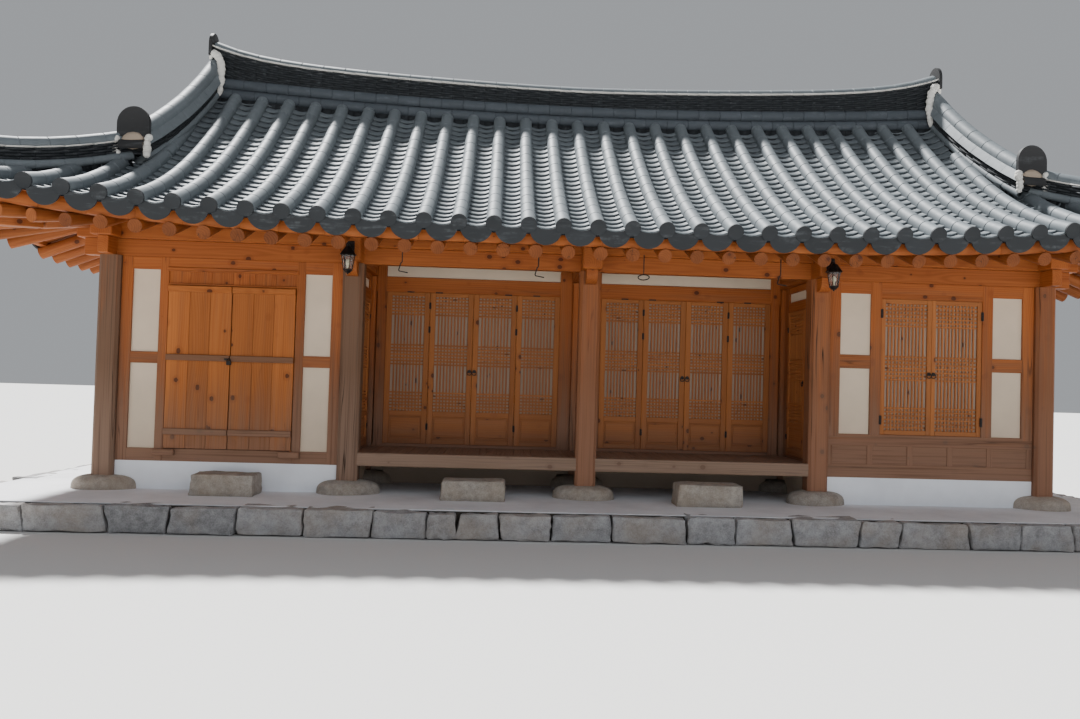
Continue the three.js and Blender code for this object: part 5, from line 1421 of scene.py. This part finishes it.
class HANOK_OT_ridges(Piece):
    """Ridges of flat tiles in layers over rolls of convex tiles, with upright end tiles and mortar"""
    bl_idname = "hanok.ridges"
    bl_label = "Ridges"

    def make(self):
        flat = block((-0.5, 0, 0), (0.5, 0.985, 1), 0)
        coping = self.coping_pattern()
        roll = convex_pattern()
        self.rolls, self.flats, self.cores, self.edges, self.copings = [], [], [], [], []
        self.main()
        # The flank rolls of the main ridge take the darker copy of the tile clay, as painted shade.
        finish_piece(copies(roll, self.main_rolls, "main_ridge_rolls", 24, 0.5), "ridge_tile")
        self.corners()
        corner_nodes = [f"corner_ridge_{a}_{b}" for a in ("front", "back") for b in ("left", "right")]
        for pattern, places, name, smooth, tones, finish, nodes in (
            (roll, self.rolls, "ridge_rolls", 24, 0.5, "tile", ["main_ridge"]),
            (flat, self.flats, "ridge_layers", None, 0.7, "end_tile", corner_nodes),
            (coping, self.copings, "ridge_copings", 24, 0.5, "tile", ()),
            # Cores in the darker end-tile clay: painted shade in the joints between the layers.
            (flat, self.cores, "ridge_cores", None, 1.0, "end_tile", ()),
            # The edge tiles take the pale mortar colour: a painted highlight for the lit top faces of the
            # flat tiles.
            (flat, self.edges, "ridge_edge_tiles", None, 1.0, "mortar", ()),
        ):
            finish_piece(copies(pattern, places, name, smooth, tones), finish, replaced=nodes)
        self.plates()
        self.mortar(roll)
        remove(flat, coping, roll)

    def coping_pattern(self):
        """A broad tile with sloping sides, one wide, one long and one high."""
        coping = block((-0.5, 0, 0), (0.5, 0.985, 1), 0)
        edit(coping, "FACE")
        select_by(coping, "polygons", lambda f: f.normal.z > 0.9)
        bpy.ops.transform.resize(value=(0.52, 1, 1), center_override=(0, 0, 1))
        cut_edges(coping, lambda a, b: min(a.z, b.z) > 0.9 and abs(a.y - b.y) > 0.5, 0.08, 3)
        return done(coping, "coping_tile")

    def course(self, path, heights, offset):
        """Places for one course of tiles that follows its own heights over the foot of the ridge."""
        heights = np.broadcast_to(heights, len(path))
        line = [point + Vector((0, 0, height)) for point, height in zip(path, heights)]
        kept = line[offset::2]
        if offset:
            kept.insert(0, line[0])
        if (len(line) - 1 - offset) % 2:
            kept.append(line[-1])
        return along_path(kept)

    def shaped(self, place, width, height, across=0.0):
        """A place whose pattern is made this wide and high, and moved sideways."""
        return place @ at(across, 0, 0) @ sized(width, 1, height)

    def rolled(self, path, height, half, tall, offset):
        """Convex tiles on their sides along both flanks."""
        scale = tall / (2 * group("tiles").radius)
        for place in self.course(path, height + tall / 2, offset):
            for side in (-1, 1):
                tilt = turned_by(side * math.pi / 2, "Y")
                self.rolls.append(place @ at(side * (half - tall / 2), 0, 0) @ tilt @ sized(scale, 1, scale))

    def layered(self, path, low, high, count, width, offset):
        """Thin flat tiles with dark joints between the layers."""
        layer = (high - low) / count
        for i in range(count):
            for place in self.course(path, low + layer * i, (offset + i) % 2):
                own = width + RANDOM.uniform(-0.012, 0.008)
                self.flats.append(self.shaped(place, own, layer * 0.72, RANDOM.uniform(-0.004, 0.004)))

    def capped(self, path, tops, radius, offset=0, broad=1.0):
        """A row of convex tiles along the top."""
        scale = radius / group("tiles").radius
        for place in self.course(path, np.subtract(tops, radius), offset):
            self.rolls.append(place @ sized(scale * broad, 1, scale))

    def cored(self, path, tops, width, foot=-0.12):
        """Blocks inside the ridge where clay and mortar sit, in near-black clay: painted shade in the joints
        between the layers.
        """
        tops = np.broadcast_to(tops, len(path))
        for place, a, b in zip(along_path(path), tops, tops[1:]):
            self.cores.append(self.shaped(place @ at(0, 0, foot), width, min(a, b) - foot))

    def main(self):
        """The main ridge: two courses of rolls, thin layers, a projecting edge painted pale as a highlight,
        and a cap.
        """
        xs = np.linspace(-4.44, 4.44, 69)
        path = [Vector((x, 0, tile_height(x, 0.17, EAVE_Y - 0.17) - RIDGE_SEAT)) for x in xs]
        share = np.abs(xs) / 4.45
        tops = 5.066 + 0.2 * share ** 1.6 + 0.16 * share ** 9 - np.array([point.z for point in path])
        self.rolled(path, 0.0, 0.178, 0.128, 0)
        self.rolled(path, 0.126, 0.172, 0.128, 1)
        self.main_rolls, self.rolls = self.rolls, []
        high = tops - 0.098
        for i in range(12):
            heights = high - 0.027 * (i + 1)
            for k, place in enumerate(self.course(path, heights, i % 2)):
                if heights[min(2 * k, len(heights) - 1)] > 0.225:
                    own = 0.285 + RANDOM.uniform(-0.01, 0.01)
                    self.flats.append(self.shaped(place, own, 0.0195, RANDOM.uniform(-0.003, 0.003)))
        # A pale projecting edge in mortar colour: painted highlight.
        self.edges += [self.shaped(place, 0.305, 0.013) for place in self.course(path, high, 1)]
        self.capped(path, tops, 0.08, 0, 1.35)
        self.cored(path, tops - 0.11, 0.235, 0.0)
        self.cored(path, 0.0, 0.31)

    def corners(self):
        """The gable ridges and the hip ridges that carry on from them."""
        for sx, sy in CORNERS:
            path = self.corner_path(GABLE_LINE, sx, sy)
            self.rolled(path, 0.0, 0.122, 0.088, 0)
            self.layered(path, 0.088, 0.188, 4, 0.215, 1)
            self.copings += [self.shaped(place, 0.27, 0.11) for place in self.course(path, 0.188, 0)]
            self.capped(path, 0.395, 0.09, 1)
            self.cored(path[:-2], 0.29, 0.11)
            path = self.corner_path(HIP_LINE, sx, sy)
            self.rolled(path, 0.0, 0.105, 0.085, 1)
            self.layered(path, 0.085, 0.2, 4, 0.18, 0)
            # A pale edge over the hip ridge's layers: painted highlight.
            self.edges += [self.shaped(place, 0.196, 0.01) for place in self.course(path, 0.2, 1)]
            self.capped(path, 0.31, 0.074, 0)
            self.cored(path, 0.22, 0.09)

    def corner_path(self, spots, sx, sy):
        """The foot of a gable ridge or hip ridge, on the tiles."""
        path = []
        for point in fine_line([Vector((x, y, 0)) for x, y in spots], 0.131):
            distance = front_distance(point.x, point.y)
            if point.x > 4.62:
                distance = min(distance, side_distance(point.x, point.y))
            height = tile_height(point.x, point.y, distance) - RIDGE_SEAT
            path.append(Vector((point.x * sx, point.y * sy, height)))
        return path

    def gable_end(self, sx, sy):
        """The place in front of the lower end of a gable ridge, at its foot."""
        foot = tile_height(4.62, 1.72, front_distance(4.62, 1.72)) - RIDGE_SEAT
        return at(4.63 * sx, 1.865 * sy, foot) @ turned_by(0.14 * sx * -sy) @ self.facing(sy)

    def facing(self, sy):
        """Turns a shape at the back the other way."""
        return turned_by(0.0 if sy < 0 else math.pi)

    def plates(self):
        """Upright end tiles with a raised rim."""
        plate = block((-0.17, -0.02, -0.135), (0.17, 0.02, 0.165), 0)
        cut_edges(plate, lambda a, b: abs(a.y - b.y) > 0.02 and a.z > 0.1, 0.165, 9)
        inset_front(plate, 0.018, -0.006)
        done(plate, "end_plate")
        size = sized(0.94, 0.9, 1.0)
        places = [at(s * 4.463, 0, 5.35) @ turned_by(math.pi / 2 * s) @ size for s in (-1, 1)]
        for sx, sy in CORNERS[::-1]:
            places.append(at(0, 0, 0.345) @ self.gable_end(sx, sy))
            spot = at(6.012 * sx, 3.012 * sy, tile_height(6.0, 3.0, 0.0) + 0.185)
            places.append(spot @ turned_by(math.pi / 4 * sx * -sy) @ self.facing(sy) @ sized(0.66, 0.9, 0.72))
        finish_piece(copies(plate, places, "ridge_end_plates", 35), "plate")
        remove(plate)

    def mortar(self, roll):
        """White mortar at the ends of the ridges, and the convex tile that closes each gable ridge."""
        lumps, tiles, moons = [], [], []
        line = fine_line([Vector(spot) for spot in COLLAR], 0.022)
        for sx, sy in CORNERS[::-1]:
            for point in line:
                size = RANDOM.uniform(0.036, 0.05)
                spot = Vector((point.x * sx, point.y * sy, point.z))
                spot += Vector(RANDOM.uniform(-0.008, 0.008, 3))
                lumps.append(at(*spot) @ sized(size, size * 0.7, size))
            front = self.gable_end(sx, sy)
            across = turned_by(-math.pi / 2)
            tiles.append(front @ at(-0.132, -0.01, 0.115) @ across @ sized(0.85, 0.264, 0.85))
            moons.append(front @ at(0, -0.012, 0.165) @ sized(0.125, 0.035, 0.09))
            for side in (-1, 1):
                for i in range(9):
                    spot = Vector((side * 0.16, -0.02, 0.02 + i * 0.022))
                    spot += Vector(RANDOM.uniform(-0.012, 0.012, 3))
                    size = RANDOM.uniform(0.026, 0.042)
                    lumps.append(front @ at(*spot) @ sized(size, size, size))
        lump = added(bpy.ops.mesh.primitive_ico_sphere_add, subdivisions=2, radius=1)
        finish_piece(copies(lump, lumps, "ridge_mortar", 60), "mortar")
        finish_piece(copies(lump, moons, "ridge_end_moons", 60), "clay")
        finish_piece(copies(roll, tiles, "ridge_end_tiles", 24), "plate")
        remove(lump)


class HANOK_OT_stones(Piece):
    """Kerb stones round the platform, base stones, stepping stones and the packed earth"""
    bl_idname = "hanok.stones"
    bl_label = "Stones"

    def rough(self, low, high, seed, amount, ease=0.03, lean=(0, 0), taper=0.0, tilt=0.0):
        """A split stone: a cube with broken edges, uneven faces, leaning ends and a sloping top."""
        stone = block(low, high, 0)
        edit(stone)
        bpy.ops.mesh.bevel(offset=ease, segments=2, affect="EDGES")
        bpy.ops.mesh.select_all(action="SELECT")
        bpy.ops.mesh.subdivide(number_cuts=4)
        bpy.ops.object.mode_set(mode="OBJECT")
        rng = np.random.default_rng(seed)
        mesh = stone.data
        points = points_of(mesh)
        low, high = np.array(low), np.array(high)
        share = (points - low) / (high - low)
        away = share * 2 - 1
        away = away * np.abs(away) ** 3
        away /= np.maximum(np.linalg.norm(away, axis=1, keepdims=True), 1e-3)
        push = np.zeros(len(points))
        for size, weight in ((9, 0.5), (22, 0.3), (48, 0.2)):
            waves = rng.normal(0, size, (5, 3))
            push += weight * np.abs(np.sin(points @ waves.T + rng.uniform(0, 6.28, 5))).mean(1)
        points -= away * (amount * 2.4 * (push - 0.4))[:, None]
        long = 0 if high[0] - low[0] > 0.31 or high[1] - low[1] < high[0] - low[0] else 1
        slant = lean[0] * (1 - share[:, long]) + lean[1] * share[:, long]
        points[:, long] += slant * (share[:, 2] - 0.5)
        points[:, 2] += tilt * share[:, 2] * (share[:, long] - 0.5)
        middle = (low + high) / 2
        points[:, long] -= (points[:, long] - middle[long]) * taper * (1 - share[:, 2])
        points[:, 2] = np.maximum(points[:, 2], 0.0)
        mesh.vertices.foreach_set("co", points.ravel())
        mesh.update()
        write_marks(mesh, points, rng.uniform(0, 1))
        return stone

    def make(self):
        self.platform()
        self.bases()
        self.steps()

    def platform(self):
        """Kerb stones whose joints lean one way or the other, round the packed earth."""
        earth = done(block((-5.89, -2.91, 0.0), (5.89, 2.91, PLATFORM_TOP - 0.002), 0), "packed_earth")
        finish_piece(earth, "earth", replaced=("stone_platform",))
        sizes = group("stone")
        edges = [-6.03, -5.36, -4.98, -4.28, -3.74, -3.16, -2.58, -1.98, -1.5, -1.24, -0.86, -0.4, 0.14, 0.82,
                 1.26, 1.78, 2.4, 2.78, 3.42, 3.9, 4.4, 5.08, 5.56, 6.03]
        rows = [-2.79 + 5.58 * i / 10 + RANDOM.uniform(-0.07, 0.07) * (0 < i < 10) for i in range(11)]
        joint = 0.009
        parts = []
        for turned, spots, face in ((False, edges, 3.02 + sizes.proud), (True, rows, 6.0 + sizes.proud)):
            for side in (-1, 1):
                leans = RANDOM.uniform(-0.06, 0.06, len(spots))
                for k, (a, b) in enumerate(zip(spots, spots[1:])):
                    c, d = sorted((side * (face - RANDOM.uniform(0, 0.025)), side * (face - sizes.depth)))
                    top = PLATFORM_TOP + 0.006 + RANDOM.uniform(-0.01, 0.008)
                    low, high = (a - joint, c, -0.01), (b + joint, d, top)
                    if turned:
                        low, high = (c, a - joint, -0.01), (d, b + joint, top)
                    seed = 100 + k + 50 * (side > 0) + 200 * turned
                    slope = RANDOM.uniform(-0.014, 0.014)
                    parts.append(self.rough(low, high, seed, 0.032, lean=leans[k:k + 2], tilt=slope))
        finish_piece(join("kerb_stones", parts, 22), "stone")

    def bases(self):
        """Rounded boulders with flat tops under the columns."""
        spots = [((i - 2) * BAY, y) for i in range(5) for y in (-HALF_DEPTH, HALF_DEPTH)]
        spots += [(x, RECESS_Y) for x in (-BAY, 0, BAY)]
        size = (0.3, 0.26, 0.138)
        parts = []
        for k, (x, y) in enumerate(spots):
            middle = (x, y, 0.247)
            ball = bpy.ops.mesh.primitive_uv_sphere_add
            stone = added(ball, middle, segments=28, ring_count=18, radius=1, scale=size)
            rng = np.random.default_rng(700 + k)
            flat = (points_of(stone.data) - middle) / size
            reach = np.maximum(np.linalg.norm(flat[:, :2], axis=1, keepdims=True), 1e-6)
            flat[:, :2] *= reach ** -0.35
            flat[:, 2] = np.sign(flat[:, 2]) * np.abs(flat[:, 2]) ** 0.62
            points = middle + flat * size
            angle = np.arctan2(points[:, 1] - y, points[:, 0] - x)
            swell = 1 + 0.07 * np.sin(2 * angle + rng.uniform(0, 6))
            swell += 0.035 * np.sin(3 * angle + rng.uniform(0, 6))
            points[:, :2] = (x, y) + (points[:, :2] - (x, y)) * swell[:, None]
            stone.data.vertices.foreach_set("co", points.ravel())
            write_marks(stone.data, points, rng.uniform(0, 1))
            parts.append(stone)
        finish_piece(join("base_stones", parts, 60), "field_stone")

    def steps(self):
        """The three flat stepping stones."""
        for k, (name, x, front, width, depth, height) in enumerate((
            ("left", -3.51, -2.33, 0.65, 0.37, 0.215), ("middle", -1.125, -2.29, 0.67, 0.35, 0.205),
            ("right", 1.19, -2.35, 0.7, 0.37, 0.225),
        )):
            low = (x - width / 2, front, PLATFORM_TOP - 0.02)
            high = (x + width / 2, front + depth, PLATFORM_TOP + height)
            stone = self.rough(low, high, 500 + k, 0.022, ease=0.035, lean=(0.05, -0.03), taper=0.08)
            done(stone, f"step_{name}", 35)
            finish_piece(stone, "field_stone", replaced=(f"stepping_stone_{name}",))


class HANOK_OT_floor(Piece):
    """Floor boards of the porch with their front beam, and the floor of the rooms"""
    bl_idname = "hanok.floor"
    bl_label = "Floors"

    def make(self):
        dress("room_floor", "paper")
        side, front, back = BAY - 0.046, -HALF_DEPTH - 0.085, RECESS_Y - 0.046
        under = FLOOR_TOP - 0.037
        parts = [timber((-side, front, SILL_BOTTOM), (side, front + 0.095, FLOOR_TOP), 0.006),
                 timber((-side, back - 0.09, SILL_BOTTOM), (side, back, under), 0.003)]
        for x in (-1.24, 1.24, -0.05, 0.05):
            low, high = (x - 0.05, front + 0.09, 0.55), (x + 0.05, back - 0.08, under)
            parts.append(timber(low, high, 0.003, along=1))
        step = 2 * side / 26
        for i in range(26):
            a = -side + i * step
            low, high = (a + 0.001, front + 0.0955, under + 0.001), (a + step - 0.001, back, under + 0.036)
            parts.append(timber(low, high, 0.003, along=1))
        finish_piece(join("porch_floor_boards", parts), "floor", replaced=("porch_floor",))


class HANOK_OT_fittings(Piece):
    """Wall lanterns, the hooks that hold lifted doors, and the padlock"""
    bl_idname = "hanok.fittings"
    bl_label = "Fittings"

    def make(self):
        for s, name in SIDES:
            self.lantern(s * BAY, f"lantern_{name}")
        self.hooks()
        self.lock()

    def cone(self, vertices, radius1, radius2, depth, location):
        """A round or six-sided ring that widens or narrows upwards."""
        return added(
            bpy.ops.mesh.primitive_cone_add, location, vertices=vertices, radius1=radius1, radius2=radius2,
            depth=depth,
        )

    def lantern(self, x, name):
        """A six-sided iron lantern on a bracket, with its glass and its bulb."""
        face = -HALF_DEPTH - 0.3303
        y = face - 0.105
        glass = done(self.cone(6, 0.042, 0.062, 0.13, (x, y, 2.53)), f"{name}_glass")
        iron = []
        for i in range(6):
            c, s = math.cos(i * math.pi / 3), math.sin(i * math.pi / 3)
            ends = [Vector((x + r * c, y + r * s, z)) for r, z in ((0.044, 2.462), (0.064, 2.6))]
            bar = cylinder(6, 0.0045, 1, (0, 0, 0.5))
            bar.data.transform(along_path(ends, Vector((0, 1, 0)))[0] @ turned_by(-math.pi / 2, "X"))
            iron.append(bar)
        for r1, r2, z, depth in (
            (0.02, 0.046, 2.4375, 0.025), (0.048, 0.048, 2.456, 0.012), (0.086, 0.03, 2.64, 0.08),
            (0.067, 0.086, 2.6, 0.01), (0.012, 0.012, 2.69, 0.02), (0.006, 0.012, 2.42, 0.02),
        ):
            iron.append(self.cone(6 if r1 > 0.015 else 12, r1, r2, depth, (x, y, z)))
        iron.append(block((x - 0.042, face - 0.014, 2.64), (x + 0.042, face, 2.75), 0.004))
        iron.append(block((x - 0.008, y, 2.692), (x + 0.008, face - 0.01, 2.71), 0.003))
        finish_piece(join(f"{name}_iron", iron, 30), "iron", replaced=(name,))
        finish_piece(glass, "glass")
        bulb = done(added(
            bpy.ops.mesh.primitive_uv_sphere_add, (x, y, 2.53), segments=14, ring_count=10, radius=0.02,
            scale=(1, 1, 1.6),
        ), f"{name}_bulb", 60)
        bulb = join(f"{name}_bulb", [bulb, cylinder(12, 0.011, 0.04, (x, y, 2.48))], 50)
        finish_piece(bulb, "bulb")

    def hooks(self):
        """Iron hooks that hang from the rafters; the third one ends in a ring."""
        y = -HALF_DEPTH - 0.83
        for k, x in enumerate((-1.835, -0.565, 0.43, 1.74)):
            high = deck_height(x, abs(y), front_distance(x, y)) - 0.12
            curve = bpy.data.curves.new(f"hook_{k}", "CURVE")
            curve.dimensions = "3D"
            curve.bevel_depth = 0.0055
            curve.bevel_resolution = 2
            spots = [(x, y, high), (x, y, 2.5), (x - 0.012, y, 2.49), (x - 0.03, y, 2.425)]
            spots += [(x - 0.025, y, 2.415), (x + 0.055, y - 0.01, 2.40)]
            if k == 2:
                spots = [(x, y, high), (x, y, 2.46)]
                for i in range(15):
                    angle = math.pi / 2 + i * 2 * math.pi / 14
                    c, s = math.cos(angle), math.sin(angle)
                    spots.append((x + 0.05 * c, y - 0.02 * c, 2.435 + 0.025 * s))
            line = curve.splines.new("POLY")
            line.points.add(len(spots) - 1)
            for point, spot in zip(line.points, spots):
                point.co = (*spot, 1)
            obj = bpy.data.objects.new(f"lift_hook_{k + 1}", curve)
            bpy.context.collection.objects.link(obj)
            pick(obj)
            bpy.ops.object.convert(target="MESH")
            finish_piece(done(bpy.context.object, f"lift_hook_{k + 1}", 40), "iron")

    def lock(self):
        """The padlock in its staple, on the left plank door."""
        x, front = -1.5 * BAY, -HALF_DEPTH - 0.08
        parts = [
            block((x - 0.026, front - 0.02, 1.5), (x + 0.022, front - 0.002, 1.545), 0.005),
            torus(16, 0.018, 0.004, (x - 0.002, front - 0.011, 1.548)),
            block((x - 0.05, front - 0.012, 1.55), (x - 0.012, front + 0.001, 1.566), 0.002),
        ]
        finish_piece(join("padlock", parts, 30), "iron", "plank_door_left")


class HANOK_OT_gables(Piece):
    """Timber gables at the ends of the ridge"""
    bl_idname = "hanok.gables"
    bl_label = "Gables"

    def make(self):
        dress("gable_left", "boards")
        dress("gable_right", "boards")


class HANOK_OT_stage(Piece):
    """Pale floor, soft studio light and the camera at the photograph's angle"""
    bl_idname = "hanok.stage"
    bl_label = "Stage"

    def make(self):
        floor = added(bpy.ops.mesh.primitive_plane_add, (0, 0, -0.001), size=160)
        done(floor, "studio_floor")
        floor.data.materials.append(start_material("studio_floor", linear("#d9d8d5"), 0.9)[0])
        scene = bpy.context.scene
        scene.world = scene.world or bpy.data.worlds.new("studio")
        scene.world.use_nodes = True
        background = scene.world.node_tree.nodes["Background"]
        background.inputs[0].default_value = linear("#e9edf2")
        background.inputs[1].default_value = 0.45
        key = self.lamp("key", "SUN", (-4.6, 8, 13), (0, 0, 0), 11.5)
        key.angle = 0.08
        fill = self.lamp("fill", "AREA", (2, -16, 6), (0, -1, 1.5), 390)
        fill.size = 12.0
        fill.color = linear("#eef3ff")[:3]
        self.camera()

    def lamp(self, name, kind, place, aim, power):
        """A lamp at a place that looks at a point."""
        data = bpy.data.lights.new(name, kind)
        data.energy = power
        lamp = bpy.data.objects.new(name, data)
        bpy.context.collection.objects.link(lamp)
        lamp.location = place
        lamp.rotation_euler = (Vector(aim) - Vector(place)).to_track_quat("-Z", "Y").to_euler()
        return data

    def camera(self):
        """The camera that took the photograph, from its fitted turn, tilt and roll."""
        yaw, pitch, roll = 0.0516, 0.0269, 0.0289
        focus, width = 920, 1080
        forward = Vector((math.sin(yaw) * math.cos(pitch), math.cos(yaw) * math.cos(pitch), math.sin(pitch)))
        level = Vector((math.cos(yaw), -math.sin(yaw), 0))
        upright = level.cross(forward)
        right = level * math.cos(roll) + upright * math.sin(roll)
        up = upright * math.cos(roll) - level * math.sin(roll)
        data = bpy.data.cameras.new("photo_camera")
        data.sensor_width = 36
        data.lens = data.sensor_width * focus / width
        data.shift_x = -0.0077
        camera = bpy.data.objects.new("photo_camera", data)
        bpy.context.collection.objects.link(camera)
        camera.matrix_world = axes_place(right, up, -forward, (-0.8912, -11.2258, 1.4017))
        bpy.context.scene.camera = camera


class HANOK_PT_panel(bpy.types.Panel):
    """The house's sizes, colours and pieces"""
    bl_label = "Hanok House"
    bl_idname = "HANOK_PT_panel"
    bl_space_type = "VIEW_3D"
    bl_region_type = "UI"
    bl_category = "Hanok House"

    def draw(self, context):
        for name in GROUPS:
            box = self.layout.box()
            for key in group(name).__annotations__:
                box.prop(group(name), key)
        for operator in OPERATORS:
            self.layout.operator(operator.bl_idname)


GROUPS = {
    "tiles": TileSizes, "timber": TimberSizes, "lattice": LatticeSizes, "stone": StoneSizes,
    "colours": HouseColours,
}
OPERATORS = (
    HANOK_OT_stage, HANOK_OT_stones, HANOK_OT_columns, HANOK_OT_walls, HANOK_OT_leaves, HANOK_OT_floor,
    HANOK_OT_rafters, HANOK_OT_roof_bed, HANOK_OT_tiles, HANOK_OT_ridges, HANOK_OT_gables, HANOK_OT_fittings,
)


def register():
    for kind in (*GROUPS.values(), *OPERATORS, HANOK_PT_panel):
        bpy.utils.register_class(kind)
    for name, kind in GROUPS.items():
        setattr(bpy.types.Scene, f"hanok_{name}", bpy.props.PointerProperty(type=kind))


def unregister():
    for name in GROUPS:
        delattr(bpy.types.Scene, f"hanok_{name}")
    for kind in (HANOK_PT_panel, *OPERATORS, *GROUPS.values()):
        bpy.utils.unregister_class(kind)


def main():
    """Makes the whole house."""
    register()
    make_materials()
    for operator in OPERATORS:
        category, name = operator.bl_idname.split(".")
        getattr(getattr(bpy.ops, category), name)()


if __name__ == "__main__":
    main()
